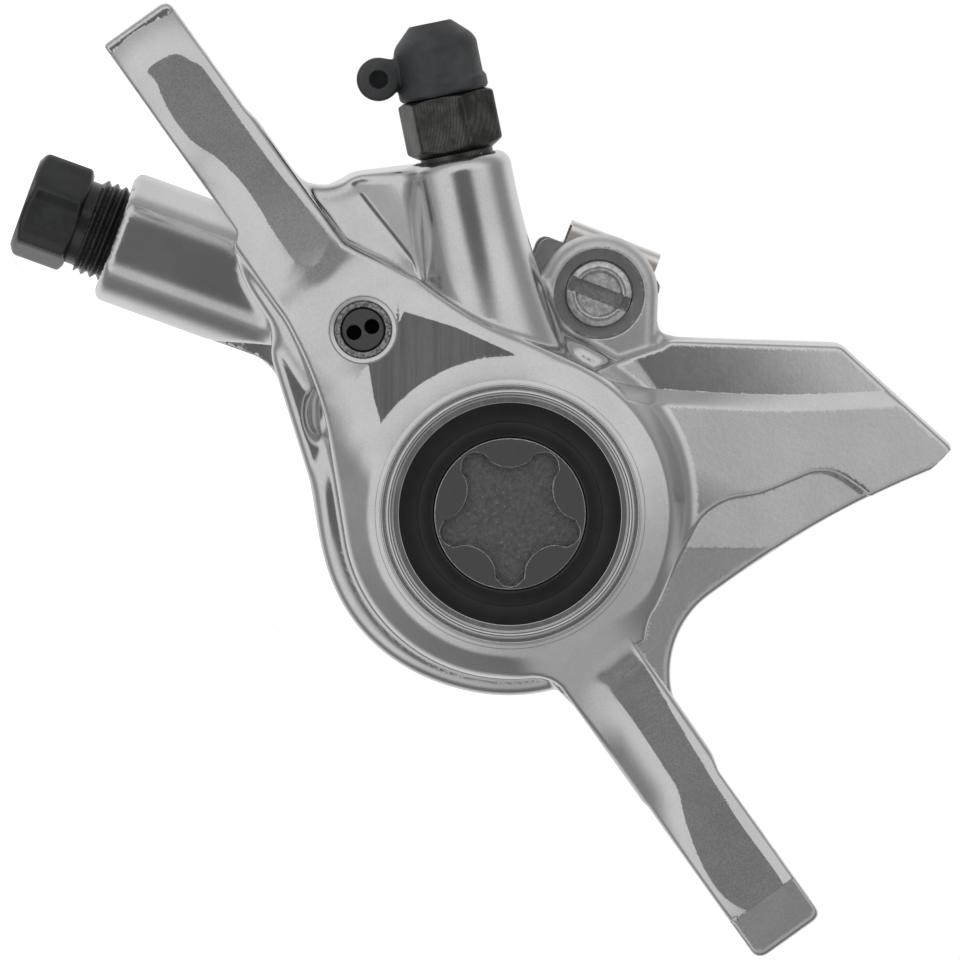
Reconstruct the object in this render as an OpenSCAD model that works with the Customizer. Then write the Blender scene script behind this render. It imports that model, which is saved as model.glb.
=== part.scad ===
// Two-piston hydraulic disc brake caliper for a bicycle, post mount, one-piece body, in millimetres.
// Origin: midway between the two mounting slots, on the plane of the ears' mating faces.
// +X runs from the rear ear to the front ear, -Y faces outboard, +Z points off the frame along the bolts.
// A pad frame (t, y, r) sits on the piston axis, with r pointing away from the wheel axle.

/* [Post mount] */
// Distance between the two fixing bolts
mount_spacing = 74; // [73:0.5:76]
// Width of the slots, for an M6 bolt
slot_w = 6.6; // [6.2:0.1:7]
// Length of the slots across the rotor plane
slot_l = 10; // [9:0.5:10.5]
// Thickness of the ears along the bolts
ear_t = 6.3; // [5.5:0.1:7]
// Depth of the ears across the rotor plane
ear_d = 13; // [12.5:0.25:13.5]
// Metal beyond the slot's centre at the end of each ear
ear_end = 8.1; // [7:0.1:10]
// Length of the flat mating face under each ear
mate_l = 15; // [13.5:0.5:16]
// Length of the flat seat for each bolt's washer
seat_l = 14.5; // [13.5:0.5:16]
// Step down from the mating face to the underside of the rear arm
rear_step = 0.9; // [0.3:0.1:1.5]
// Step down from the mating face to the underside of the front arm
front_step = 0.35; // [0.2:0.05:1]
// Height of the arms above the washer seats
arm_rise = 0.25; // [0.1:0.05:0.8]

/* [Rotor] */
// Rotor diameter
rotor_d = 160; // [160:1:164]
// Rotor thickness
rotor_t = 1.8; // [1.5:0.1:2]
// Rotor plane to the mounting bolts' plane
rotor_y = 10.5; // [10.3:0.1:11]
// How far the rotor's edge reaches past the piston axis
rotor_over = 7.5; // [7:0.1:8]
// Free space around the rotor's edge
rotor_room = 1; // [0.8:0.1:1.4]
// Width of the rotor's slot through the bridges
rotor_slot = 5.8; // [5:0.2:6]

/* [Pistons] */
// Piston axis along the mount
piston_x = 4.2; // [4:0.1:4.6]
// Piston axis height over the mating plane
piston_z = 4.7; // [4.4:0.1:5]
// Piston diameter
piston_d = 22; // [21:0.5:22]
// Radial clearance of a piston in its cylinder
piston_fit = 0.05; // [0.02:0.01:0.1]
// Diameter of the hollow in a piston
piston_hollow = 15; // [13:0.5:16]
// Depth of the hollow in a piston
piston_hollow_h = 6; // [4:0.5:7]
// Depth of each cylinder below its pocket wall
cylinder_h = 9.2; // [9:0.1:9.5]
// Fluid space behind a piston that is pushed home
fluid_gap = 0.2; // [0.1:0.05:0.4]
// How far a piston stands proud of its pocket wall when pushed home
piston_proud = 0.1; // [0.05:0.05:0.2]
// Width of the piston seal
seal_w = 2.2; // [1.8:0.1:2.4]
// Thickness of the piston seal
seal_t = 1.5; // [1.3:0.1:1.7]
// Metal between the pocket wall and the seal's groove
seal_land = 1.6; // [1.2:0.1:2]

/* [Pads] */
// Width of the pad pocket along the rotor's axle
pocket_w = 12.6; // [12.4:0.1:13]
// Length of the pad pocket along the rotor's edge
pocket_l = 28.4; // [27.5:0.1:29]
// Pad length clearance at each end of the pocket
pad_play = 0.3; // [0.2:0.05:0.5]
// Angle of the pads' radial line off the bolts' direction
pad_tilt = 33.4; // [33:0.2:34]
// Thickness of a pad's back plate
plate_t = 2; // [1.8:0.1:2.1]
// Thickness of a new pad's lining
lining_t = 1.95; // [1.5:0.05:2]
// Height of the pad axle from the piston axis
axle_r = 18.9; // [18.6:0.1:19.2]
// Sideways place of the pad axle off the pads' centre line
axle_t = 0.6; // [0.3:0.1:0.8]
// Pad axle diameter
axle_d = 4; // [3.8:0.1:4.2]
// Width of each pad's tab
tab_w = 10.4; // [10:0.2:11]
// Height of the pads' tabs over the pad axle
tab_over = 2.7; // [2.5:0.1:3.1]
// Thickness of the pad spring's sheet
spring_t = 0.4; // [0.3:0.05:0.5]
// Width of the pad axle's screwdriver slot
axle_slot_w = 1.1; // [0.9:0.05:1.3]
// Width of the pad spring's fold
spring_w = 7.55; // [7:0.1:8]
// Height of the pad spring's fold over the tabs
spring_over = 2; // [1.6:0.1:2.4]

/* [Bore cap] */
// Diameter of the bore cap
cap_d = 19; // [18.5:0.1:19.2]
// Thickness of the bore cap
cap_t = 2.2; // [2:0.1:2.4]
// Depth of the cap's face below the rim
cap_recess = 1; // [0.6:0.1:1.2]
// Width of the rim around the cap
rim_w = 0.35; // [0.25:0.05:0.5]
// Diameter of the cap's metal core
core_d = 12.2; // [11.8:0.1:12.6]
// Depth of the star socket in the core
socket_h = 0.8; // [0.5:0.1:1]
// Reach of the star socket's arms from its centre
star_r = 5.8; // [5.4:0.1:5.8]
// Radius of the hollows between the star's arms
star_hollow = 2.7; // [2.5:0.1:2.8]
// Distance of those hollows from the star's centre
star_waist = 3.67; // [3.5:0.05:3.8]

/* [Fluid channel] */
// Cross channel along the mount
channel_x = -14.6; // [-14.8:0.1:-14.2]
// Cross channel height over the mating plane
channel_z = 3.7; // [3.5:0.1:4]
// Diameter of the drilled channels
channel_d = 2.4; // [2:0.1:2.8]
// Diameter of the channel's plug
plug_d = 4.9; // [4.5:0.1:5.2]
// Diameter of the countersink around the plug
plug_sink_d = 5.9; // [5.6:0.1:6.4]
// Length of the plug
plug_l = 3.2; // [2.5:0.1:4]
// Diameter of the plug's two pin holes
pin_hole_d = 1.18; // [1:0.02:1.3]
// Distance between the plug's two pin holes
pin_hole_pitch = 1.5; // [1.4:0.05:1.7]

/* [Hose port] */
// Rotor-ward offset of the hose port
port_y = 13; // [12.8:0.1:13.4]
// Direction of the hose port in the side view
port_angle = 214.5; // [214:0.5:216]
// Port mouth to the cross channel
port_reach = 21.3; // [21:0.1:22]
// Diameter of the port's boss
port_d = 11; // [10.6:0.1:11.4]
// Thread diameter of the hose nut
nut_thread_d = 8; // [7.6:0.1:8.2]
// Bore of the hose nut
nut_bore_d = 5; // [4.8:0.1:5.2]
// Hexagon across flats of the hose nut
nut_af = 8; // [8:0.5:10]
// Length of the hose nut's hexagon
nut_hex_l = 4.7; // [4:0.1:6]
// Thread and collar left showing outside the port
nut_show = 3.1; // [2:0.1:4]
// Length of thread inside the port
nut_grip = 8.5; // [7:0.1:9]
// Length of the brass olive
olive_l = 3.6; // [3:0.1:4]

/* [Bleed port] */
// Bleed boss mouth to the piston axis
bleed_reach = 28.7; // [28.3:0.1:29.5]
// Bearing of the boss mouth from the piston axis
bleed_bearing = 152.7; // [152.3:0.1:153.1]
// Direction of the bleed nipple
bleed_angle = 156; // [155:0.5:157]
// Outboard offset of the bleed nipple
bleed_y = -1.7; // [-1.9:0.1:-1.5]
// Diameter of the bleed boss at its mouth
bleed_boss_d = 7.8; // [7.6:0.1:8.4]
// Hexagon across flats of the nipple
nipple_af = 7; // [6.5:0.5:7]
// Length of the nipple's hexagon
nipple_hex_l = 4.8; // [4:0.1:6]
// Thread diameter of the nipple
nipple_thread_d = 6; // [5.4:0.1:6]
// Length of the nipple's thread
nipple_thread_l = 8; // [7:0.1:9]
// Diameter of the nipple's neck under its cap
neck_d = 4.4; // [4:0.1:4.8]
// Outer diameter of the rubber cap
rubber_d = 6.8; // [6.6:0.1:7.2]
// Length of the rubber cap
rubber_l = 5.6; // [5:0.1:6.5]
// Outer diameter of the loop of the cap's strap
loop_d = 3.6; // [3.2:0.1:4]
// Thickness of the cap's strap
strap_t = 1; // [0.8:0.05:1.2]

/* [Body] */
// Outer radius of the cylinder housings
drum_r = 15; // [15:0.1:15.4]
// Radius of the raised front of the housing
front_r = 13.4; // [13.2:0.1:13.6]
// Height of the housing's front flat over the ears' outboard face
front_rise = 1.5; // [1.2:0.1:1.8]
// Height of the cap's rim over the housing's front flat
rim_rise = 1; // [0.8:0.1:1.2]
// Metal behind the inboard cylinder
back_wall = 2; // [1.8:0.1:2.6]
// Thickness of the lugs that hold the pad axle
lug_t = 4.6; // [4.2:0.1:5]
// Radius of the lugs that hold the pad axle
lug_r = 4.65; // [4.5:0.05:5]
// Radius of the lugs where they leave the housing
lug_root_r = 6.5; // [6:0.1:7]
// Edge radius of the arms
arm_edge = 1.2; // [0.8:0.1:1.6]
// Thickness of the wing from its tip's face to the pocket
wing_t = 5.4; // [5:0.1:6]

/* [Hidden] */
$fn = 96;

eps = 0.01;
through = 60;
fixed_fit = 0.02;
moving_gap = 0.3;

piston = [piston_x, piston_z];
channel = [channel_x, channel_z];
radial = [-sin(pad_tilt), cos(pad_tilt)];
tangent = [cos(pad_tilt), sin(pad_tilt)];
wheel_axle = piston - radial * (rotor_d / 2 - rotor_over);
pad_axle_at = piston + radial * axle_r + tangent * axle_t;

ear_x = mount_spacing / 2;
ear_tip = ear_x + ear_end;
ear_front = -ear_d / 2;
ear_back = ear_d / 2;
arm_top = ear_t + arm_rise;

pocket_y0 = rotor_y - pocket_w / 2;
pocket_y1 = rotor_y + pocket_w / 2;
slot_y0 = rotor_y - rotor_slot / 2;
slot_y1 = rotor_y + rotor_slot / 2;
floor_y0 = pocket_y0 - cylinder_h;
floor_y1 = pocket_y1 + cylinder_h;
flat_y = ear_front - front_rise;
rim_y = flat_y - rim_rise;
cap_y = rim_y + cap_recess;
cap_back = cap_y + cap_t;
back_y = floor_y1 + back_wall;

piston_r = piston_d / 2;
piston_l = cylinder_h - fluid_gap + piston_proud;
plate_back = pocket_w / 2 - piston_proud - 0.05;
plate_front = plate_back - plate_t;
tab_top = axle_r + tab_over;
spring_top = tab_top + spring_over;
lining_face = plate_front - lining_t;

bleed_mouth = piston + bleed_reach * [cos(bleed_bearing), sin(bleed_bearing)];
bleed_out = [cos(bleed_angle), sin(bleed_angle)];
clip_r = axle_d / 2 + 1;
bleed_side = [sin(bleed_angle), -cos(bleed_angle)];
port_mouth = channel + port_reach * [cos(port_angle), sin(port_angle)];
thread_seat_l = nut_grip + olive_l + 0.6;

// Placing

// A point and direction in the side view, with local +Z along that direction
module aim(at, y, angle) {
    translate([at[0], y, at[1]]) rotate([0, 90 - angle, 0]) children();
}

// The pad frame: local X along the rotor's edge, local Z away from the wheel axle
module pad_frame() {
    translate([piston[0], 0, piston[1]]) rotate([0, -pad_tilt, 0]) children();
}

// A 2D side view drawn in (x, z) and given the depth y0 to y1
module deep(y0, y1) {
    translate([0, y1, 0]) rotate([90, 0, 0]) linear_extrude(y1 - y0) children();
}

// A cylinder along Y
module rod(at, r, y0, y1) {
    translate([at[0], y0, at[1]]) rotate([-90, 0, 0]) cylinder(r = r, h = y1 - y0);
}

// A turned form along Y, from a profile of [radius, y] points
module turned(at, profile) {
    translate([at[0], 0, at[1]]) rotate([-90, 0, 0]) rotate_extrude() polygon(profile);
}

// Outlines are lists of arcs [x, z, radius, start angle, end angle, segments], run anticlockwise.
// An arc that runs clockwise is a hollow corner. An inset d shrinks round corners and grows hollow ones.
function arc_points(a, d) =
    let (hollow = a[4] < a[3], r = hollow ? a[2] + d : max(a[2] - d, 0.02))
    [for (i = [0:a[5]]) let (w = a[3] + (a[4] - a[3]) * i / a[5]) [a[0] + r * cos(w), a[1] + r * sin(w)]];

function outline(arcs, d = 0) = [for (a = arcs) each arc_points(a, d)];

// Two circles and the tangents that wrap them
function wrap(c1, r1, c2, r2, n = 12) =
    let (v = c2 - c1, lean = atan2(v[1], v[0]), spread = acos((r1 - r2) / norm(v)))
    [
        [c1[0], c1[1], r1, lean + spread, lean + 360 - spread, n],
        [c2[0], c2[1], r2, lean - spread, lean + spread, n]
    ];

// A closed skin over rings of points that lie one behind the other, each cap fanned from its hub
module skin(rings, hubs) {
    n = len(rings[0]);
    m = len(rings);
    points = [for (ring = rings) each ring, hubs[0], hubs[1]];
    sides = [for (k = [0:m - 2], i = [0:n - 1], half = [0, 1])
        let (a = k * n + i, b = k * n + (i + 1) % n)
        half == 0 ? [a, b, a + n] : [b, b + n, a + n]];
    front = [for (i = [0:n - 1]) [m * n, (i + 1) % n, i]];
    back = [for (i = [0:n - 1]) [m * n + 1, (m - 1) * n + i, (m - 1) * n + (i + 1) % n]];
    polyhedron(points, concat(sides, front, back));
}

// A slab between y0 and y1 with its front and back edges rounded by e0 and e1.
// Its front face can lean: it falls back by lean[0] per mm of x and lean[1] per mm of z, counted from hub.
module slab(arcs, hub, y0, y1, e0 = 1, e1 = 0.6, lean = [0, 0]) {
    soft = 1 - sqrt(0.5);
    steps = [[y0, e0, 1], [y0 + soft * e0, soft * e0, 1], [y0 + e0, 0, 1], [y1 - e1, 0, 0], [y1, e1 * 0.8, 0]];
    rings = [for (s = steps) [for (p = outline(arcs, s[1]))
        [p[0], s[0] + s[2] * ((p[0] - hub[0]) * lean[0] + (p[1] - hub[1]) * lean[1]), p[1]]]];
    skin(rings, [[hub[0], y0, hub[1]], [hub[0], y1, hub[1]]]);
}

// Body

arm_corner = arm_edge + 0.4;
rear_arm = [
    [-ear_tip + arm_corner, arm_corner - rear_step, arm_corner, 180, 270, 3],
    [channel_x + 6, arm_corner - rear_step, arm_corner, 270, 360, 1],
    [channel_x + 6, arm_top - arm_corner, arm_corner, 0, 90, 1],
    [-ear_tip + arm_corner, arm_top - arm_corner, arm_corner, 90, 180, 3]
];
front_arm = [
    [piston_x + 9, arm_corner - front_step, arm_corner, 180, 270, 1],
    [ear_tip - arm_corner, arm_corner - front_step, arm_corner, 270, 360, 3],
    [ear_tip - arm_corner, arm_top - arm_corner, arm_corner, 0, 90, 3],
    [piston_x + 9, arm_top - arm_corner, arm_corner, 90, 180, 1]
];

// Both arms, from ear to housing
module arms() {
    slab(rear_arm, [(channel_x - ear_x) / 2, arm_top / 2], ear_front, ear_back, arm_edge, 0.8);
    slab(front_arm, [(piston_x + ear_x) / 2, arm_top / 2], ear_front, ear_back, arm_edge, 0.8);
}

// Where a fillet of radius f that touches the line z = level leaves the circle of radius r, as an x offset
function fillet_x(level, r, f, up) = sqrt(pow(r + f, 2) - pow(level + (up ? f : -f) - piston_z, 2));

// The web that fills the corner between an arm and a circle about the piston axis
module arm_fillet(side, level, r, f, up, y0, y1) {
    x = piston_x + side * fillet_x(level, r, f, up);
    z = level + (up ? f : -f);
    inner = piston_x + side * r * 0.7;
    deep(y0, y1) difference() {
        polygon([[inner, level + (up ? -1 : 1)], [x, level + (up ? -1 : 1)], [x, level], [x, z],
            piston + (r - 0.5) / (r + f) * ([x, z] - piston)]);
        translate([x, z]) circle(r = f);
    }
}

// The raised front flat that carries the channel plug and rings the bore
module front_land() {
    arcs = wrap(channel, 4, piston, front_r, 14);
    slab(arcs, piston, flat_y, ear_front + 3.5, 1.4, 0.3);
}

// The housing of the outboard cylinder, and the rim that rings the cap on the front flat
module outboard_drum() {
    rim_r = cap_d / 2 + rim_w;
    step_y = ear_front + 3.5;
    turned(piston, [
        [0, rim_y], [rim_r - 0.1, rim_y], [rim_r, rim_y + 0.1], [rim_r + 0.2, rim_y + 0.5],
        [rim_r + 0.75, rim_y + 0.55], [rim_r + 1.1, flat_y - 0.2], [rim_r + 1.6, flat_y], [rim_r + 1.6, step_y],
        [drum_r - 0.8, step_y + 0.4], [drum_r - 0.2, step_y + 0.7], [drum_r, step_y + 1.1],
        [drum_r, slot_y0], [0, slot_y0]
    ]);
}

// The housing of the inboard cylinder, closed at the back
module inboard_drum() {
    turned(piston, [
        [0, slot_y1], [drum_r, slot_y1], [drum_r, back_y - 5], [drum_r - 0.4, back_y - 3.4],
        [drum_r - 1.6, back_y - 1.3], [drum_r - 3.2, back_y - 0.3], [drum_r - 4.6, back_y],
        [7, back_y], [6.4, back_y - 0.5], [0, back_y - 0.5]
    ]);
}

// The tail of the casting behind the plug, on both sides of the rotor
module flank() {
    arcs = wrap([channel_x - 0.6, channel_z - 4.1], 3.6, piston, drum_r - 0.5, 14);
    slab(arcs, piston, ear_front + 3.9, floor_y1 + 0.6, 0.8, 2);
}

// The rear bridge over the rotor's edge, with the cross channel in it. Its end stays behind the bleed boss's mouth.
module rear_bridge() {
    top = bleed_mouth - 2.96 * bleed_out - 0.5 * bleed_side;
    end = bleed_mouth - 2.75 * bleed_out - 7.83 * bleed_side;
    arcs = [
        [-21.5, 3, 4.4, 180, 270, 4],
        [-12, 2, 4, 270, 330, 3],
        [-9, 13, 3, 0, 70, 3],
        [top[0], top[1], 2.6, 70, bleed_angle, 3],
        [end[0], end[1], 3, bleed_angle, 180, 2]
    ];
    slab(arcs, [-16, 8], ear_front + 4.4, floor_y1 - 0.6, 0.8, 2.2);
}

// The wing: its broad outboard face falls back towards the outer end
module wing() {
    arcs = [
        [14, 8, 5, 270, 360, 4],
        [93, 16, 74, 180, 164.72, 4],
        [20.65, 35.8, 1, -15, 102, 5],
        [9.6, 33.2, 1.1, 102, 142, 3],
        [1.9, 22.7, 1.4, 142, 190, 3],
        [2, 12, 5, 190, 270, 4]
    ];
    slab(arcs, [11, 20], ear_front + 1.6, pocket_y0 + 2.2, 0.9, 0.6, [0.02, 0.21]);
}

// The front bridge over the rotor's edge, behind the wing
module front_bridge() {
    arcs = [
        [14.4, 10, 4.5, 270, 360, 4],
        [17.2, 29, 2.4, 0, 100, 4],
        [10.6, 29.6, 2.4, 100, 145, 2],
        [6, 20, 3, 145, 250, 4]
    ];
    slab(arcs, [12, 20], 2, floor_y1 - 2.6, 0.5, 2.4);
}

// The corner web between the front arm and the wing
module wing_fillet() {
    f = 5.5;
    corner = [18.95, arm_top + 0.35];
    deep(ear_front + 2.6, ear_back) difference() {
        polygon([corner + [-1, -1], corner + [f, -1], corner + [f, 0], corner + [f, f], corner + [0, f], corner + [-1, f]]);
        translate(corner + [f, f]) circle(r = f);
    }
}

// The two lugs that hold the pad axle, one on each side of the pads
module axle_lugs() {
    root = piston + radial * (piston_r + 0.5) + tangent * 2 * axle_t;
    arcs = wrap(root, lug_root_r, pad_axle_at, lug_r, 10);
    slab(arcs, pad_axle_at, pocket_y0 - lug_t, pocket_y0 + 1, 0.5, 0.3);
    slab(arcs, pad_axle_at, pocket_y1 - 1, pocket_y1 + lug_t, 0.3, 0.5);
}

// The boss that takes the bleed nipple, flared where it meets the housing
module bleed_boss() {
    aim(bleed_mouth, bleed_y, bleed_angle) {
        translate([0, 0, -20]) cylinder(d = bleed_boss_d, h = 19.4);
        translate([0, 0, -0.6]) cylinder(d1 = bleed_boss_d, d2 = bleed_boss_d - 1, h = 0.6);
        translate([0, 0, -18]) cylinder(d1 = bleed_boss_d + 4.4, d2 = bleed_boss_d, h = 9);
    }
}

// The boss that takes the hose nut
module port_boss() {
    aim(port_mouth, port_y, port_angle) {
        translate([0, 0, -16]) cylinder(d = port_d, h = 15.5);
        translate([0, 0, -0.5]) cylinder(d1 = port_d, d2 = port_d - 0.8, h = 0.5);
    }
}

// Slot for the rotor and pocket for the pads
module rotor_and_pads_cut() {
    rod(wheel_axle, rotor_d / 2 + rotor_room, slot_y0, slot_y1, $fn = 180);
    pad_frame() translate([-pocket_l / 2, pocket_y0, -drum_r - 2]) cube([pocket_l, pocket_w, drum_r + 32]);
}

// Cylinders, seal grooves and the seat of the bore cap
module piston_cut() {
    groove_r = piston_r + seal_t + 0.05;
    rod(piston, piston_r, floor_y0, floor_y1);
    rod(piston, groove_r, pocket_y0 - seal_land - seal_w, pocket_y0 - seal_land);
    rod(piston, groove_r, pocket_y1 + seal_land, pocket_y1 + seal_land + seal_w);
    rod(piston, cap_d / 2, rim_y - 1, cap_back);
    rod(piston, cap_d / 2 - 1.2, cap_back - eps, floor_y0 + 1);
}

// Slots, mating faces and washer seats of the two ears
module ear_cut() {
    for (side = [-1, 1]) {
        for (y = [-1, 1] * (slot_l - slot_w) / 2)
            translate([side * ear_x, y, -5]) cylinder(d = slot_w, h = 20);
        translate([side * ear_x - slot_w / 2, -(slot_l - slot_w) / 2, -5]) cube([slot_w, slot_l - slot_w, 20]);
        translate([side > 0 ? ear_tip - mate_l : -ear_tip - 1, ear_front - 1, -4])
            cube([mate_l + 1, ear_d + 2, 4]);
        translate([side > 0 ? ear_tip - seat_l : -ear_tip - 1, ear_front - 1, ear_t])
            cube([seat_l + 1, ear_d + 2, 4]);
    }
}

// Fluid drillings: cross channel, its two feeds, the hose port and the bleed port
module fluid_cut() {
    feed_l = piston_x - channel_x;
    rod(channel, channel_d / 2, flat_y, floor_y1 - 0.6);
    rod(channel, plug_d / 2, flat_y - 1, flat_y + 0.1 + plug_l);
    turned(channel, [[0, flat_y - 1], [plug_sink_d / 2 + 1, flat_y - 1], [plug_sink_d / 2, flat_y], [0, flat_y + plug_sink_d / 2]]);
    for (y = [floor_y0 + 0.5 + channel_d / 2, floor_y1 - 0.7 - channel_d / 2])
        translate([channel_x, y, channel_z]) rotate([0, 90, 0]) cylinder(d = channel_d, h = feed_l);
    aim(port_mouth, port_y, port_angle) {
        translate([0, 0, -port_reach]) cylinder(d = channel_d, h = port_reach);
        translate([0, 0, -nut_grip - 0.6]) cylinder(d = nut_thread_d + 2 * fixed_fit, h = nut_grip + 2);
        translate([0, 0, -thread_seat_l]) cylinder(d = 6.8, h = thread_seat_l);
        translate([0, 0, -0.5]) cylinder(d1 = nut_thread_d, d2 = nut_thread_d + 1.2, h = 0.6);
    }
    aim(bleed_mouth, bleed_y, bleed_angle) {
        translate([0, 0, -bleed_reach]) cylinder(d = channel_d, h = bleed_reach);
        translate([0, 0, -nipple_thread_l - 0.5]) cylinder(d = nipple_thread_d, h = nipple_thread_l + 2);
        translate([0, 0, -nipple_thread_l - 2.1])
            cylinder(d1 = channel_d, d2 = nipple_thread_d - 0.6, h = 1.7);
    }
}

// Bores of the pad axle through both lugs
module axle_cut() {
    face = pocket_y0 - lug_t;
    rod(pad_axle_at, 3.6, face - 3, face + 1.5);
    rod(pad_axle_at, 2.7 + fixed_fit, face + 1.4, pocket_y0 + 1);
    rod(pad_axle_at, axle_d / 2 + fixed_fit, pocket_y1 - 1, pocket_y1 + lug_t + 3);
    rod(pad_axle_at, clip_r + 2 * moving_gap, pocket_y1 + lug_t, pocket_y1 + lug_t + 6);
}

module caliper_body() {
    color([0.72, 0.72, 0.72]) difference() {
        union() {
            arms();
            flank();
            rear_bridge();
            front_bridge();
            wing();
            outboard_drum();
            inboard_drum();
            front_land();
            axle_lugs();
            bleed_boss();
            port_boss();
            wing_fillet();
            arm_fillet(-1, -rear_step, front_r, 2.5, false, ear_front + 1, ear_back);
            arm_fillet(1, -front_step, drum_r, 3, false, ear_front + 4, ear_back);
        }
        rotor_and_pads_cut();
        piston_cut();
        ear_cut();
        fluid_cut();
        axle_cut();
    }
}

// Bore cap: black ring, metal core with the star socket, and the ring seal

oring_t = 0.8;
oring_y = cap_y + cap_t / 2 + 0.2;
core_h = 1.5;

module bore_cap() {
    color([0.03, 0.03, 0.03]) difference() {
        rod(piston, cap_d / 2 - fixed_fit, cap_y, cap_back);
        rod(piston, core_d / 2 + fixed_fit, cap_y - 1, cap_y + core_h);
        turned(piston, [
            [cap_d / 2 - oring_t, oring_y - oring_t / 2], [cap_d / 2 + 1, oring_y - oring_t / 2],
            [cap_d / 2 + 1, oring_y + oring_t / 2], [cap_d / 2 - oring_t, oring_y + oring_t / 2]
        ]);
    }
}

module star_2d() {
    tip_r = 1.05;
    reach = star_waist + star_hollow;
    difference() {
        circle(r = star_r - 0.6);
        for (k = [0:4]) rotate(k * 72 + 36) translate([reach, 0]) circle(r = star_hollow);
    }
    for (k = [0:4]) rotate(k * 72) translate([star_r - tip_r, 0]) circle(r = tip_r);
}

module cap_core() {
    star_turn = -35.5;
    color([0.5, 0.5, 0.5]) difference() {
        rod(piston, core_d / 2, cap_y, cap_y + core_h);
        deep(cap_y - 1, cap_y + socket_h) translate(piston) rotate(star_turn) star_2d();
    }
}

module bore_cap_oring() {
    color([0.05, 0.05, 0.05]) translate([piston[0], oring_y, piston[1]]) rotate([-90, 0, 0])
        rotate_extrude() translate([cap_d / 2 - oring_t / 2 - fixed_fit, 0]) circle(d = oring_t - 2 * fixed_fit, $fn = 32);
}

module channel_plug() {
    pin_angle = 73;
    color([0.12, 0.12, 0.12]) difference() {
        rod(channel, plug_d / 2 - fixed_fit, flat_y + 0.1, flat_y + 0.1 + plug_l);
        for (side = [-1, 1])
            rod(channel + side * pin_hole_pitch / 2 * [cos(pin_angle), sin(pin_angle)],
                pin_hole_d / 2, flat_y - 1, flat_y + 1.1, $fn = 24);
        turned(channel, [[1.75, flat_y], [1.95, flat_y], [1.95, flat_y + 0.4], [1.75, flat_y + 0.4]]);
    }
}

// Pistons and their seals

module piston_cup(face_y, inward) {
    translate([piston[0], face_y, piston[1]]) rotate([inward > 0 ? -90 : 90, 0, 0]) rotate_extrude() polygon([
        [0, -piston_l], [piston_r - piston_fit - 1, -piston_l], [piston_r - piston_fit, -piston_l + 1.4],
        [piston_r - piston_fit, -0.3], [piston_r - piston_fit - 0.3, 0], [piston_hollow / 2 + 0.4, 0],
        [piston_hollow / 2, -0.4], [piston_hollow / 2, -piston_hollow_h + 1],
        [piston_hollow / 2 - 1, -piston_hollow_h], [0, -piston_hollow_h]
    ]);
}

module outboard_piston() {
    color([0.86, 0.82, 0.74]) piston_cup(pocket_y0 + piston_proud, 1);
}

module inboard_piston() {
    color([0.86, 0.82, 0.74]) piston_cup(pocket_y1 - piston_proud, -1);
}

module piston_seal(y0) {
    color([0.04, 0.04, 0.04]) difference() {
        rod(piston, piston_r + seal_t, y0 + 0.05, y0 + seal_w - 0.05);
        rod(piston, piston_r, y0 - 1, y0 + seal_w + 1);
    }
}

module outboard_piston_seal() { piston_seal(pocket_y0 - seal_land - seal_w); }

module inboard_piston_seal() { piston_seal(pocket_y1 + seal_land); }

// Pads, in the pad frame

pad_half = pocket_l / 2 - pad_play;

// A pad's outline: a round lower edge cut flat at the bottom, then shoulders
function pad_foot(r, flat, corner, n) =
    let (low = asin((flat - corner) / (r - corner)), x = (r - corner) * cos(low))
    [
        [0, 0, r, 180, 180 + low, n],
        [-x, corner - flat, corner, 180 + low, 270, 3],
        [x, corner - flat, corner, 270, 360 - low, 3],
        [0, 0, r, 360 - low, 360, n]
    ];

function plate_arcs() = concat(pad_foot(pad_half, 10.6, 2, 5), [
    [pad_half - 2, 6.6, 2, 0, 70, 3],
    [tab_w / 2 + 1.5, 11.6, 1.5, 250, 180, 3],
    [tab_w / 2 - 0.8, tab_top - 0.8, 0.8, 0, 90, 3],
    [-tab_w / 2 + 0.8, tab_top - 0.8, 0.8, 90, 180, 3],
    [-tab_w / 2 - 1.5, 11.6, 1.5, 360, 290, 3],
    [-pad_half + 2, 6.6, 2, 110, 180, 3]
]);

function lining_arcs() = concat(pad_foot(pad_half - 0.6, 10, 1.6, 5), [
    [pad_half - 2.2, 4.6, 1.6, 0, 80, 3],
    [-pad_half + 2.2, 4.6, 1.6, 100, 180, 3]
]);

module pad_plate(y0) {
    color([0.55, 0.55, 0.55]) pad_frame() difference() {
        deep(y0, y0 + plate_t) polygon(outline(plate_arcs()));
        rod([axle_t, axle_r], axle_d / 2 + moving_gap, y0 - 1, y0 + plate_t + 1);
    }
}

module pad_lining(y0) {
    color([0.35, 0.28, 0.22]) pad_frame() difference() {
        deep(y0, y0 + lining_t) polygon(outline(lining_arcs()));
        translate([-0.6, y0 - 1, -12]) cube([1.2, lining_t + 2, 24]);
    }
}

module outboard_pad_plate() { pad_plate(rotor_y - plate_back); }

module outboard_pad_lining() { pad_lining(rotor_y - plate_front); }

module inboard_pad_plate() { pad_plate(rotor_y + plate_front); }

module inboard_pad_lining() { pad_lining(rotor_y + lining_face); }

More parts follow.
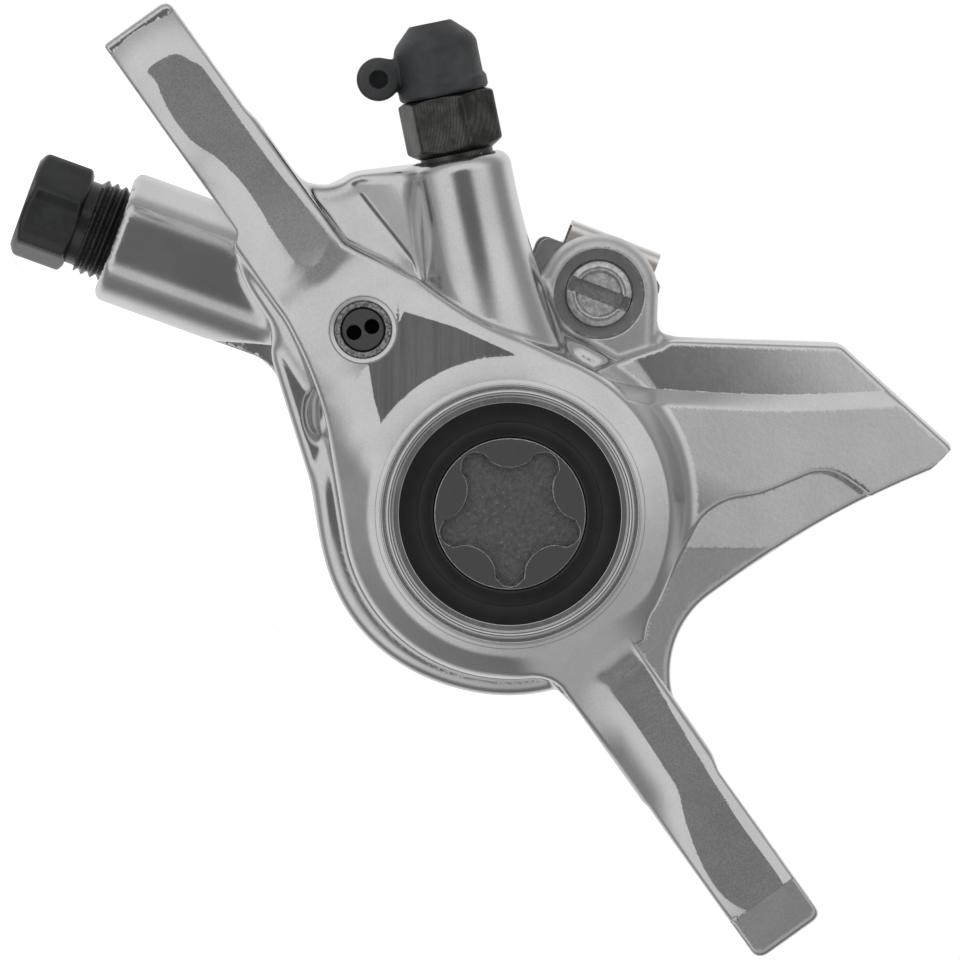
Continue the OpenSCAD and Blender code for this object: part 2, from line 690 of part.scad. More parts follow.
// The sheet spring: a fold over the top, and on each side a leg round the axle with two wings
module pad_spring() {
    outer = plate_front - moving_gap;
    wing_z = 8.2;
    fold_r = 0.9;
    color([0.82, 0.76, 0.74]) pad_frame() {
        difference() {
            translate([axle_t - spring_w / 2, 0, 0]) rotate([90, 0, 90]) linear_extrude(spring_w) difference() {
                union() {
                    translate([rotor_y - outer, 11]) square([2 * outer, spring_top - fold_r - 11]);
                    translate([rotor_y - outer + fold_r, spring_top - fold_r - 1])
                        square([2 * (outer - fold_r), 1 + fold_r]);
                    for (side = [-1, 1])
                        translate([rotor_y + side * (outer - fold_r), spring_top - fold_r])
                            circle(r = fold_r, $fn = 32);
                }
                translate([rotor_y - outer + spring_t, 0])
                    square([2 * (outer - spring_t), spring_top - spring_t]);
            }
            rod([axle_t, axle_r], axle_d / 2 + moving_gap, 0, 2 * rotor_y);
        }
        for (side = [-1, 1])
            deep(rotor_y + side * (outer - spring_t / 2) - spring_t / 2,
                 rotor_y + side * (outer - spring_t / 2) + spring_t / 2)
                difference() {
                    translate([-11.5, wing_z - 1.1]) square([23, 4.4]);
                    translate([-12.5, wing_z + 0.9]) square([12.5 - spring_w / 2, 3]);
                    translate([axle_t + spring_w / 2, wing_z + 0.9]) square([12, 3]);
                }
    }
}

// Pad axle: slotted head in the outboard lug, plain shank through the pads, clip behind the inboard lug

clip_y = pocket_y1 + lug_t + 0.3;

module pad_axle() {
    face = pocket_y0 - lug_t;
    head_r = 2.7;
    groove = 0.45;
    end_y = clip_y + 2;
    color([0.7, 0.7, 0.69]) difference() {
        turned(pad_axle_at, [
            [0, face + 0.9], [head_r - 0.75, face + 0.9], [head_r - 0.75, face + 0.3], [head_r - 0.4, face + 0.3],
            [head_r, face + 0.7], [head_r, pocket_y0 - 0.2], [axle_d / 2, pocket_y0 + 0.2],
            [axle_d / 2, clip_y], [axle_d / 2 - groove, clip_y], [axle_d / 2 - groove, clip_y + 0.7],
            [axle_d / 2, clip_y + 0.7], [axle_d / 2, end_y - 0.6], [axle_d / 2 - 0.6, end_y], [0, end_y]
        ]);
        translate([pad_axle_at[0], 0, pad_axle_at[1]]) rotate([0, -pad_tilt, 0])
            translate([-2 * head_r, face, -axle_slot_w / 2]) cube([4 * head_r, 1.7, axle_slot_w]);
    }
}

// A snap clip that grips the groove, open on one side
module pad_axle_clip() {
    color([0.6, 0.6, 0.6]) difference() {
        rod(pad_axle_at, clip_r, clip_y + 0.05, clip_y + 0.65);
        rod(pad_axle_at, axle_d / 2 - 0.4, clip_y - 1, clip_y + 2);
        translate([pad_axle_at[0] - 0.9, clip_y - 1, pad_axle_at[1]]) cube([1.8, 3, 5]);
    }
}

// Bleed port

module bleed_nipple() {
    base = moving_gap;
    hex_top = base + nipple_hex_l;
    thread_r = nipple_thread_d / 2 - 0.05;
    color([0.16, 0.15, 0.12]) aim(bleed_mouth, bleed_y, bleed_angle) difference() {
        union() {
            intersection() {
                translate([0, 0, base]) rotate([0, 0, 12]) cylinder(d = nipple_af / cos(30), h = nipple_hex_l, $fn = 6);
                rotate_extrude() polygon([
                    [0, base], [nipple_af / 2 - 0.1, base], [nipple_af / 2 + 0.7, base + 0.7],
                    [nipple_af / 2 + 0.7, hex_top - 0.5], [nipple_af / 2 - 0.1, hex_top], [0, hex_top]
                ]);
            }
            rotate_extrude() polygon([
                [0, -nipple_thread_l - 1.9], [0.9, -nipple_thread_l - 1.9], [thread_r - 0.4, -nipple_thread_l - 0.3],
                [thread_r, -nipple_thread_l + 0.2], [thread_r, base + 1], [neck_d / 2 - 0.4, hex_top - 1],
                [neck_d / 2 - 0.4, hex_top + 1.4], [neck_d / 2, hex_top + 2], [neck_d / 2 - 0.5, hex_top + 3.8],
                [0, hex_top + 3.8]
            ]);
        }
        translate([0, 0, -3]) cylinder(d = 1.4, h = 20, $fn = 32);
        translate([-5, 0, -nipple_thread_l + 3]) rotate([0, 90, 0]) cylinder(d = 1.2, h = 10, $fn = 24);
        translate([0, 0, -nipple_thread_l + 3]) cylinder(d = 1.4, h = 10, $fn = 32);
    }
}

module bleed_cap() {
    base = moving_gap * 2 + nipple_hex_l;
    top = base + rubber_l;
    r = rubber_d / 2;
    loop_at = r + 0.25 + loop_d / 2;
    color([0.2, 0.21, 0.23]) aim(bleed_mouth, bleed_y, bleed_angle) {
        difference() {
            rotate_extrude() polygon([
                [0, base], [r - 0.2, base], [r + 0.25, base + 0.3], [r + 0.25, base + 1.1], [r, base + 1.3],
                [r, top - 1.9], [r - 0.15, top - 1.5], [r - 1.5, top - 0.2], [r - 2, top], [0, top]
            ]);
            translate([0, 0, base - 1]) cylinder(d = neck_d + 2 * moving_gap, h = 1 + 4.1);
        }
        translate([-loop_at, 0, base + 1.9]) rotate([90, 0, 0]) difference() {
            union() {
                cylinder(d = loop_d, h = 2.4, center = true, $fn = 48);
                translate([0, loop_d / 2 - strap_t - 0.9, -1.2]) cube([loop_d / 2 + 0.9, strap_t, 2.4]);
            }
            cylinder(d = loop_d - 2 * strap_t, h = 4, center = true, $fn = 32);
        }
    }
}

// Hose port

module hose_nut() {
    hex_end = nut_show + nut_hex_l;
    thread_r = nut_thread_d / 2;
    color([0.13, 0.14, 0.16]) aim(port_mouth, port_y, port_angle) difference() {
        union() {
            intersection() {
                translate([0, 0, nut_show]) rotate([0, 0, 20]) cylinder(d = nut_af / cos(30), h = nut_hex_l, $fn = 6);
                rotate_extrude() polygon([
                    [0, nut_show], [nut_af / 2 - 0.1, nut_show], [nut_af / 2 + 0.7, nut_show + 0.7],
                    [nut_af / 2 + 0.7, hex_end - 0.8], [nut_af / 2 - 0.2, hex_end], [0, hex_end]
                ]);
            }
            rotate_extrude() polygon([
                [0, -nut_grip], [thread_r - 0.7, -nut_grip], [thread_r, -nut_grip + 0.7],
                [thread_r, nut_show - 1], [thread_r - 0.5, nut_show - 0.7], [thread_r - 0.5, nut_show + 1],
                [0, nut_show + 1]
            ]);
        }
        translate([0, 0, -nut_grip - 1]) cylinder(d = nut_bore_d, h = nut_grip + hex_end + 2);
        translate([0, 0, hex_end - 0.5]) cylinder(d1 = nut_bore_d, d2 = nut_bore_d + 1.2, h = 0.6);
    }
}

module hose_olive() {
    color([0.75, 0.6, 0.3]) aim(port_mouth, port_y, port_angle)
        translate([0, 0, -nut_grip - olive_l - 0.3]) rotate_extrude() polygon([
            [nut_bore_d / 2, 0], [2.9, 0], [3.35, 0.9], [3.35, olive_l - 0.9], [2.9, olive_l], [nut_bore_d / 2, olive_l]
        ]);
}

caliper_body();
bore_cap();
cap_core();
bore_cap_oring();
channel_plug();
outboard_piston();
inboard_piston();
outboard_piston_seal();
inboard_piston_seal();
outboard_pad_plate();
outboard_pad_lining();
inboard_pad_plate();
inboard_pad_lining();
pad_spring();
pad_axle();
pad_axle_clip();
bleed_nipple();
bleed_cap();
hose_nut();
hose_olive();
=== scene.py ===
import math

import bpy
import numpy as np
from mathutils import Matrix, Vector


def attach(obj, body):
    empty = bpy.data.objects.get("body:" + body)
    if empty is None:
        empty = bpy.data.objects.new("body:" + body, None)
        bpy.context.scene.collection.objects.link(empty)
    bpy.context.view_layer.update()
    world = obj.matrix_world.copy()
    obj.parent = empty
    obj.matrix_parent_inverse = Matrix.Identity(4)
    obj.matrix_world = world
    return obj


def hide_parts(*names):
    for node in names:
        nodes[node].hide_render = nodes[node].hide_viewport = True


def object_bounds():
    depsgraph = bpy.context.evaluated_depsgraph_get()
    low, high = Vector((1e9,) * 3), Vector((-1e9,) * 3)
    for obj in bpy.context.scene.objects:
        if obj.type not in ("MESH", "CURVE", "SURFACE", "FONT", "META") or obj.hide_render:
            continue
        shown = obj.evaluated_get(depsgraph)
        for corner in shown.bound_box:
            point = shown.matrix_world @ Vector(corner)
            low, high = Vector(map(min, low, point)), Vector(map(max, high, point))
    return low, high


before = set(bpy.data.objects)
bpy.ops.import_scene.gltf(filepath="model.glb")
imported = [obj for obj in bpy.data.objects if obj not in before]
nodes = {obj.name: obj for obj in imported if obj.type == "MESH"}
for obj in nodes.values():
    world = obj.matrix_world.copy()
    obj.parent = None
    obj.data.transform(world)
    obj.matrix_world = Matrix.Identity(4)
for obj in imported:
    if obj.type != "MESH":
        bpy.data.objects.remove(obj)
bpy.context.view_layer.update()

# Surfaces are worked out in millimetres and stored in metres.
millimetre = 0.001
pistonAt = (4.2, 4.7)
channelAt = (-14.6, 3.7)
padTilt = math.radians(33.4)
padRadial = np.array([-math.sin(padTilt), math.cos(padTilt)])
padTangent = np.array([math.cos(padTilt), math.sin(padTilt)])
rotorPlane = 10.5
housingRadius = 14.5
lipRadius = 10.3
mostTriangles = 190000
# the photograph's right as x and z, because the caliper is turned in it
imageRight = (0.581, 0.814)
imageTurn = math.radians(54.5)
padAxleAt = tuple(np.array(pistonAt) + 18.9 * padRadial + 0.6 * padTangent)
wheelAxleAt = tuple(np.array(pistonAt) - 72.5 * padRadial)


def direction(degrees):
    return np.array([math.cos(math.radians(degrees)), math.sin(math.radians(degrees))])


bleedMouth = tuple(np.array(pistonAt) + 28.7 * direction(152.7))
portMouth = tuple(np.array(channelAt) + 21.3 * direction(214.5))
bleedLine = {"at": bleedMouth, "y": -1.7, "angle": 156}
portLine = {"at": portMouth, "y": 13.0, "angle": 214.5}


# Distances: negative inside, and every field takes arrays that broadcast together.

def roundMax(a, b, r):
    return np.minimum(-r, np.maximum(a, b)) + np.hypot(np.maximum(a + r, 0), np.maximum(b + r, 0))


def roundMin(a, b, r):
    return -roundMax(-a, -b, r)


def softMin(a, b, width):
    # the lower of two heights, joined softly where they differ by less than the width
    near = np.maximum(width - np.abs(a - b), 0)
    return np.minimum(a, b) - near * near / (4 * width)


def easeIn(value, low, high):
    # 0 below low, 1 above high, and a smooth S between them
    t = np.clip((value - low) / (high - low), 0, 1)
    return t * t * (3 - 2 * t)


def disc(x, z, at, r=0):
    return np.hypot(x - at[0], z - at[1]) - r


def inImage(x, z, at):
    # how far right and how far up a place lies from a point in the photograph's directions
    right = imageRight[0] * (x - at[0]) + imageRight[1] * (z - at[1])
    up = imageRight[0] * (z - at[1]) - imageRight[1] * (x - at[0])
    return right, up


def wrapped(x, z, c1, r1, c2, r2):
    # two circles and the tangents that wrap them
    gap = math.hypot(c2[0] - c1[0], c2[1] - c1[1])
    ux, uz = (c2[0] - c1[0]) / gap, (c2[1] - c1[1]) / gap
    along = (x - c1[0]) * ux + (z - c1[1]) * uz
    side = np.abs((z - c1[1]) * ux - (x - c1[0]) * uz)
    sine = (r1 - r2) / gap
    cosine = math.sqrt(1 - sine * sine)
    k = cosine * along - sine * side
    beyond = np.hypot(side, along - gap) - r2
    between = side * cosine + along * sine - r1
    return np.where(k < 0, np.hypot(side, along) - r1, np.where(k > cosine * gap, beyond, between))


def aimed(x, y, z, line):
    # s along the line's direction, u across it in the side view, v towards the back
    out = direction(line["angle"])
    s = (x - line["at"][0]) * out[0] + (z - line["at"][1]) * out[1]
    u = -(x - line["at"][0]) * out[1] + (z - line["at"][1]) * out[0]
    return s, u, y - line["y"]


def smoothPath(points, closed, steps=6):
    # a Catmull-Rom curve through the points
    p = np.asarray(points, float)
    if closed:
        p = np.vstack([p[-1], p, p[0], p[1]])
    else:
        p = np.vstack([2 * p[0] - p[1], p, 2 * p[-1] - p[-2]])
    t = (np.arange(steps) / steps)[:, None]
    out = []
    for a, b, c, d in zip(p[:-3], p[1:-2], p[2:-1], p[3:]):
        square = (2 * a - 5 * b + 4 * c - d) * t ** 2
        cube = (3 * b - a - 3 * c + d) * t ** 3
        out.append(0.5 * (2 * b + (c - a) * t + square + cube))
    out = np.vstack(out)
    return out if closed else np.vstack([out, p[-2]])


def arcPath(arcs, steps=10):
    # arcs are (x, z, radius, start, end) in degrees, joined by straight lines
    out = []
    for x, z, r, a0, a1 in arcs:
        for w in np.linspace(a0, a1, steps + 1):
            out.append([x + r * math.cos(math.radians(w)), z + r * math.sin(math.radians(w))])
    return np.array(out)


mapGrid = {"x0": -49.0, "z0": -22.0, "step": 0.22, "x1": 49.0, "z1": 44.0}


def distanceMap(path):
    # signed distance to a closed path, on a grid over the side view
    g = mapGrid
    x = np.arange(g["x0"], g["x1"], g["step"], dtype=np.float32)[:, None]
    z = np.arange(g["z0"], g["z1"], g["step"], dtype=np.float32)[None, :]
    best = np.full((x.shape[0], z.shape[1]), 1e6, np.float32)
    inside = np.zeros(best.shape, bool)
    for a, b in zip(path, np.roll(path, -1, axis=0)):
        d = b - a
        length2 = float(d @ d)
        if length2 < 1e-9:
            continue
        px = x - np.float32(a[0])
        pz = z - np.float32(a[1])
        t = np.clip((px * np.float32(d[0]) + pz * np.float32(d[1])) / np.float32(length2), 0, 1)
        best = np.minimum(best, (px - t * np.float32(d[0])) ** 2 + (pz - t * np.float32(d[1])) ** 2)
        if a[1] != b[1]:
            crosses = (z >= min(a[1], b[1])) & (z < max(a[1], b[1]))
            inside ^= crosses & (x < a[0] + (z - a[1]) * (d[0] / d[1]))
    return np.where(inside, -1, 1) * np.sqrt(best)


def readMap(table, x, z):
    g = mapGrid
    i = np.clip((x - g["x0"]) / g["step"], 0, table.shape[0] - 2)
    k = np.clip((z - g["z0"]) / g["step"], 0, table.shape[1] - 2)
    i0 = i.astype(np.int32)
    k0 = k.astype(np.int32)
    fi = i - i0
    fz = k - k0
    low = table[i0, k0] * (1 - fz) + table[i0, k0 + 1] * fz
    high = table[i0 + 1, k0] * (1 - fz) + table[i0 + 1, k0 + 1] * fz
    return low * (1 - fi) + high * fi


# Dual contouring: one vertex in each cell that the surface passes, placed from the field's slopes there.

def slopes(field, p, eps):
    out = np.empty_like(p)
    for axis in range(3):
        a = p.copy()
        b = p.copy()
        a[:, axis] += eps
        b[:, axis] -= eps
        out[:, axis] = field(a[:, 0], a[:, 1], a[:, 2]) - field(b[:, 0], b[:, 1], b[:, 2])
    return out / np.maximum(np.linalg.norm(out, axis=1), 1e-9)[:, None]


def contour(field, low, high, step, firmness=0.015):
    low = np.array(low, float)
    count = np.ceil((np.array(high) - low) / step).astype(int) + 1
    axes = [low[i] + step * np.arange(count[i]) for i in range(3)]
    value = field(axes[0][:, None, None].astype(np.float32), axes[1][None, :, None].astype(np.float32),
                  axes[2][None, None, :].astype(np.float32))
    value = np.broadcast_to(value, tuple(count)).astype(np.float32)
    solid = value < 0
    cells = count - 1
    quads = []
    points = []
    owners = []
    for axis in range(3):
        a = [slice(None)] * 3
        b = [slice(None)] * 3
        a[axis] = slice(0, -1)
        b[axis] = slice(1, None)
        first = solid[tuple(a)]
        index = np.argwhere(first != solid[tuple(b)])
        others = [i for i in range(3) if i != axis]
        keep = np.all([(index[:, i] > 0) & (index[:, i] < count[i] - 1) for i in others], axis=0)
        index = index[keep]
        end = index.copy()
        end[:, axis] += 1
        va = value[tuple(index.T)].astype(float)
        vb = value[tuple(end.T)].astype(float)
        p = low + step * index
        p[:, axis] += step * va / (va - vb)
        flip = first[tuple(index.T)]
        ring = []
        for du, dv in ((0, 0), (-1, 0), (-1, -1), (0, -1)):
            c = index.copy()
            c[:, others[0]] += du
            c[:, others[1]] += dv
            ring.append((c[:, 0] * cells[1] + c[:, 1]) * cells[2] + c[:, 2])
        ring = np.stack(ring, 1)
        if axis == 1:
            flip = ~flip
        quads.append(np.where(flip[:, None], ring, ring[:, ::-1]))
        owners.append(ring)
        points.append(p)
    points = np.vstack(points)
    # the surface's direction at each crossing
    normal = slopes(field, points, 0.15 * step)
    owners = np.vstack(owners)
    quads = np.vstack(quads)
    used, slot = np.unique(owners, return_inverse=True)
    slot = slot.reshape(owners.shape)
    n = len(used)
    flat = slot.ravel()
    pick = np.repeat(np.arange(len(points)), 4)

    def gather(values):
        return np.bincount(flat, values[pick], n)

    share = gather(np.ones(len(points)))
    centre = np.stack([gather(points[:, i]) for i in range(3)], 1) / share[:, None]
    matrix = np.empty((n, 3, 3))
    for i in range(3):
        for j in range(i, 3):
            matrix[:, i, j] = matrix[:, j, i] = gather(normal[:, i] * normal[:, j])
    offset = np.einsum("ij,ij->i", normal, points)
    right = np.stack([gather(normal[:, i] * offset) for i in range(3)], 1)
    right -= np.einsum("nij,nj->ni", matrix, centre)
    matrix += firmness * np.eye(3)
    vertex = centre + np.linalg.solve(matrix, right[:, :, None])[:, :, 0]
    cell = np.stack([used // (cells[1] * cells[2]), used // cells[2] % cells[1], used % cells[2]], 1)
    corner = cell * step + low
    vertex = np.clip(vertex, corner, corner + step)
    faces = np.searchsorted(used, quads)
    return vertex, faces


def settle(field, p, rounds=3, eps=0.02, reach=0.3):
    # Newton steps onto the surface
    start = p.copy()
    for _ in range(rounds):
        v = field(p[:, 0], p[:, 1], p[:, 2])
        g = np.empty_like(p)
        for axis in range(3):
            a = p.copy()
            a[:, axis] += eps
            g[:, axis] = (field(a[:, 0], a[:, 1], a[:, 2]) - v) / eps
        size = np.maximum(np.einsum("ij,ij->i", g, g), 0.25)
        p = p - g * (v / size)[:, None]
        p = start + np.clip(p - start, -reach, reach)
    return p


def makeObject(name, vertices, faces):
    mesh = bpy.data.meshes.new(name)
    mesh.vertices.add(len(vertices))
    mesh.vertices.foreach_set("co", (np.asarray(vertices) * millimetre).astype(np.float32).ravel())
    faces = np.asarray(faces)
    mesh.loops.add(faces.size)
    mesh.loops.foreach_set("vertex_index", faces.ravel().astype(np.int32))
    mesh.polygons.add(len(faces))
    mesh.polygons.foreach_set("loop_start", np.arange(0, faces.size, faces.shape[1], dtype=np.int32))
    mesh.update(calc_edges=True)
    mesh.validate()
    made = bpy.data.objects.new(name, mesh)
    bpy.context.scene.collection.objects.link(made)
    mesh.polygons.foreach_set("use_smooth", np.ones(len(mesh.polygons), bool))
    return made


def thinned(made, most):
    mesh = made.data
    triangles = sum(len(p.vertices) - 2 for p in mesh.polygons)
    if triangles <= most:
        return made
    modifier = made.modifiers.new("thin", "DECIMATE")
    modifier.ratio = most / triangles
    modifier.use_collapse_triangulate = True
    graph = bpy.context.evaluated_depsgraph_get()
    new = bpy.data.meshes.new_from_object(made.evaluated_get(graph))
    made.modifiers.clear()
    made.data = new
    new.name = made.name
    bpy.data.meshes.remove(mesh)
    return made


def readArray(items, name, width, kind=np.float32):
    values = np.empty(len(items) * width, kind)
    items.foreach_get(name, values)
    return values.reshape(-1, width).astype(float) if width > 1 else values


def solidFrom(name, field, low, high, step, most=mostTriangles, crease=4.0):
    vertex, faces = contour(field, low, high, step)
    made = thinned(makeObject(name, vertex, faces), most)
    mesh = made.data
    p = readArray(mesh.vertices, "co", 3) / millimetre
    p = settle(field, p, reach=0.5 * step)
    mesh.vertices.foreach_set("co", (p * millimetre).astype(np.float32).ravel())
    mesh.update()
    # where faces meet at a crease, each corner's normal is read a little way inside its own face
    loops = readArray(mesh.loops, "vertex_index", 1, np.int32)
    totals = readArray(mesh.polygons, "loop_total", 1, np.int32)
    middle = readArray(mesh.polygons, "center", 3) / millimetre
    faceNormal = readArray(mesh.polygons, "normal", 3)
    owner = np.repeat(np.arange(len(totals)), totals)
    normal = slopes(field, p, 0.05)[loops]
    agreement = np.einsum("ij,ij->i", normal, faceNormal[owner])
    bent = np.flatnonzero(agreement < math.cos(math.radians(crease)))
    if len(bent):
        inner = p[loops[bent]] * 0.7 + middle[owner[bent]] * 0.3
        own = slopes(field, inner, 0.03)
        poor = np.einsum("ij,ij->i", own, faceNormal[owner[bent]]) < 0.8
        own[poor] = faceNormal[owner[bent]][poor]
        sharp = np.einsum("ij,ij->i", own, normal[bent]) < math.cos(math.radians(5))
        normal[bent[sharp]] = own[sharp]
    mesh.normals_split_custom_set(normal.astype(np.float32).tolist())
    print("surface", name, len(mesh.vertices), "vertices", len(mesh.polygons), "faces")
    return made


# Body

bodyLook = {
    "split": 3.1,
    "frontStep": 0.23,
    "backStep": 0.42,
    "low": (-46.0, -9.6, -15.5),
    "high": (46.0, 28.8, 39.0),
    "mostFront": 196000,
}

rearArm = distanceMap(arcPath([
    (-44.0, 0.2, 1.1, 180, 270), (-8.0, 0.0, 0.9, 270, 300), (-6.0, 9.0, 1.0, 0, 90),
    (-15.2, 8.8, 0.6, 90, 150), (-21.5, 8.15, 1.6, 290, 270), (-44.0, 5.45, 1.1, 90, 180),
]))
frontArm = distanceMap(arcPath([
    (8.0, 1.5, 1.6, 180, 270), (44.0, 1.0, 1.1, 270, 360), (44.0, 5.45, 1.1, 0, 90), (8.0, 6.0, 1.0, 90, 180),
]))
rearStripMap = distanceMap(smoothPath([
    (-41.4, 1.7), (-41.5, 3.1), (-41.1, 4.4), (-40, 5), (-39, 5.4), (-35.7, 5.4), (-31.2, 5.4), (-26.6, 5.6),
    (-22.7, 5.8), (-21.8, 5.6), (-21.3, 4.7), (-20.9, 3.5), (-21.9, 2.6), (-22.7, 2.4), (-25.6, 2.5),
    (-28.7, 2.7), (-31, 2.5), (-32.8, 2.1), (-34.6, 1.4), (-36.7, 1.2), (-38.7, 1.4), (-40.4, 1.8),
], True))
frontStripMap = distanceMap(smoothPath([
    (20.2, 3.1), (20.2, 3.8), (19.9, 6.3), (21.7, 6.3), (27, 5.8), (34.6, 5.3), (41.6, 5.2), (41.5, 3.5),
    (41.3, 1.8), (39.1, 0.8), (36.1, 0.9), (32.6, 1.8), (30, 2.8), (26.7, 3), (23.4, 3.1),
], True))
wingMap = distanceMap(arcPath([
    (14, 8, 5, 270, 360), (93, 16, 74, 180, 164.72), (20.65, 35.64, 1, -15, 102), (9.6, 33.2, 1.1, 102, 142),
    (1.9, 22.7, 1.4, 142, 190), (2, 12, 5, 190, 270),
]))
upperStep = distanceMap(np.vstack([smoothPath([
    (26.0, 6.2), (23.6, 6.6), (21.4, 6.7), (20, 7), (18.6, 7.9), (17.6, 9.1), (17, 10.4), (14.2, 15.6),
    (13.5, 17.5), (13.7, 19.6), (14.8, 22), (15.5, 24.7), (16, 26.5), (17.1, 27.8), (19, 28.6),
    (20.1, 28.9), (21.6, 29.1),
], False), [[24, 44], [-20, 44], [-20, -2], [26, -2]]]))
terraceMap = distanceMap(np.vstack([smoothPath([
    (-11, 11), (-7, 12.9), (-3.6, 14.6), (1.6, 17.3), (6.4, 22.7), (10.7, 28.3), (15, 34.8), (18.6, 40.5),
], False), [[-12, 43], [-20, 20]]]))
frontBridgeMap = distanceMap(arcPath([
    (14.4, 10, 4.5, 270, 360), (17.2, 29, 2.4, 0, 100), (10.6, 29.6, 2.4, 100, 145), (6, 20, 3, 145, 250),
]))
bleedAcross = np.array([direction(156)[1], -direction(156)[0]])
bridgeTop = np.array(bleedMouth) - 2.96 * direction(156) - 0.5 * bleedAcross
bridgeEnd = np.array(bleedMouth) - 2.75 * direction(156) - 7.83 * bleedAcross
rearBridgeMap = distanceMap(arcPath([
    (-21.5, 3, 4.4, 180, 270), (-12, 2, 4, 270, 330), (-9, 13, 3, 0, 70), (*bridgeTop, 2.6, 70, 156),
    (*bridgeEnd, 3, 156, 180),
]))
flatMap = distanceMap(np.array([
    (-13.9, 7.2), (-10.5, 9.8), (-6.0, 12.4), (-7.4, 10.2), (-8.3, 7.2), (-8.5, 4.2), (-7.9, 1.6),
    (-7.3, 0.4), (-9.6, 1.2), (-12.2, 2.5), (-12.1, 4.3), (-13.0, 5.8),
]))


def softened(table, width):
    # the distance outside a flat, evened out away from its edge by repeated averaging with the neighbours
    even = np.maximum(table, 0)
    for _ in range(int(2.5 * (width / mapGrid["step"]) ** 2)):
        padded = np.pad(even, 1, mode="edge")
        even = (even + padded[2:, 1:-1] + padded[:-2, 1:-1] + padded[1:-1, 2:] + padded[1:-1, :-2]) / 5
    return table + (even - table) * easeIn(table, 0.1, 1.5)


mapX = np.arange(mapGrid["x0"], mapGrid["x1"], mapGrid["step"])[:, None]
mapZ = np.arange(mapGrid["z0"], mapGrid["z1"], mapGrid["step"])[None, :]
flatAndPlug = np.minimum(flatMap, disc(mapX, mapZ, channelAt, 2.75))
edgeMap = softened(np.minimum(flatAndPlug, disc(mapX, mapZ, pistonAt, 12.6)), 0.9)
print("outlines done")


def slabOf(side, front, back, y, e0, e1):
    # an outline between a front and a back height, with rounded edges there
    return roundMax(roundMax(side, front - y, e0), y - back, e1)


def sideView(x, z):
    # the distances in the side view that several parts of the body share
    toPiston = disc(x, z, pistonAt)
    right, up = inImage(x, z, pistonAt)
    clear = np.maximum(toPiston, 1)
    near = {"toPiston": toPiston, "toRight": right / clear, "toTop": up / clear}
    for name, table in (("rear", rearArm), ("front", frontArm), ("wing", wingMap)):
        near[name] = readMap(table, x, z)
    return near


def housings(x, y, z, near):
    # the two cylinder housings and the flank that joins them
    side = near["toPiston"] - housingRadius - 0.7 * easeIn(-near["toRight"], 0.2, 0.9)
    outboard = slabOf(side, -2.7, 7.7, y, 0.8, 0.3)
    inboard = slabOf(side, 13.3, 28.0, y, 0.3, 4.6)
    flank = slabOf(wrapped(x, z, (-15.2, -0.4), 3.6, pistonAt, housingRadius), -2.6, 26.6, y, 0.9, 2.2)
    return roundMin(roundMin(outboard, flank, 1.2), inboard, 1.0)


def rearBridge(x, y, z, near):
    # over the rotor at the bleed end, with a trough along the arm, between it and the bleed boss
    outline = readMap(rearBridgeMap, x, z)
    trough = 3.3 - np.sqrt((z - 10.1 - 0.05 * (x + 19)) ** 2 + 0.09)
    trough = 0.5 * -softMin(-trough, 0.4, 1.2) * easeIn(x, -26.6, -23.2)
    bridge = slabOf(outline, -2.9 + trough, 25.4, y, 1.1, 2.4)
    corner = slabOf(roundMin(outline, near["rear"] + 0.5, 3.5), -2.9 + trough, 6.2, y, 1.1, 0.8)
    return np.minimum(bridge, corner)


def frontBridge(x, y, z):
    bridge = slabOf(readMap(frontBridgeMap, x, z), 2.0, 23.4, y, 0.6, 2.6)
    shoulder = slabOf(wrapped(x, z, (2.6, 22.1), 1.6, (6.6, 27.7), 1.6), 15.0, 21.4, y, 0.4, 0.8)
    return np.minimum(bridge, shoulder)


def bleedBoss(x, y, z):
    # thicker towards its root, by the square of the depth
    s, u, v = aimed(x, y, z, bleedLine)
    side = np.hypot(u, v) - 4.15 - 0.009 * np.clip(-3 - s, 0, 14) ** 2
    return np.maximum(roundMax(side, s, 1.2), -20 - s)


def portBoss(x, y, z):
    # round, with two flats
    s, u, v = aimed(x, y, z, portLine)
    boss = roundMax(np.hypot(u, v) - 5.44, -4.95 - v, 0.4)
    boss = roundMax(boss, -0.88 * u - 0.47 * v - 5.0, 0.3)
    return np.maximum(roundMax(boss, s, 0.8), -16 - s)


def axleLugs(x, y, z, near):
    outline = wrapped(x, z, (-1.13, 14.96), 6.5, padAxleAt, 4.65)
    outboard = slabOf(outline, -0.4, 5.2, y, 1.1, 0.2)
    foot = slabOf(roundMin(outline, near["wing"], 2.2), 0.6, 5.2, y, 0.6, 0.2)
    inboard = slabOf(outline, 15.8, 21.4, y, 0.2, 0.9)
    return roundMin(roundMin(outboard, foot, 0.4), inboard, 0.1)


def castParts(x, y, z, near):
    cast = housings(x, y, z, near)
    joined = ((rearBridge(x, y, z, near), 1.2), (frontBridge(x, y, z), 1.0), (bleedBoss(x, y, z), 0.9),
              (portBoss(x, y, z), 1.4), (axleLugs(x, y, z, near), 0.9))
    for part, fillet in joined:
        cast = roundMin(cast, part, fillet)
    return cast


# Heights of the machined fronts, along Y
frontAt = {"flat": -8.0, "cone": -8.575, "wing": -4.9, "arm": -6.5, "frontEnd": -6.4, "rearEnd": -5.0}


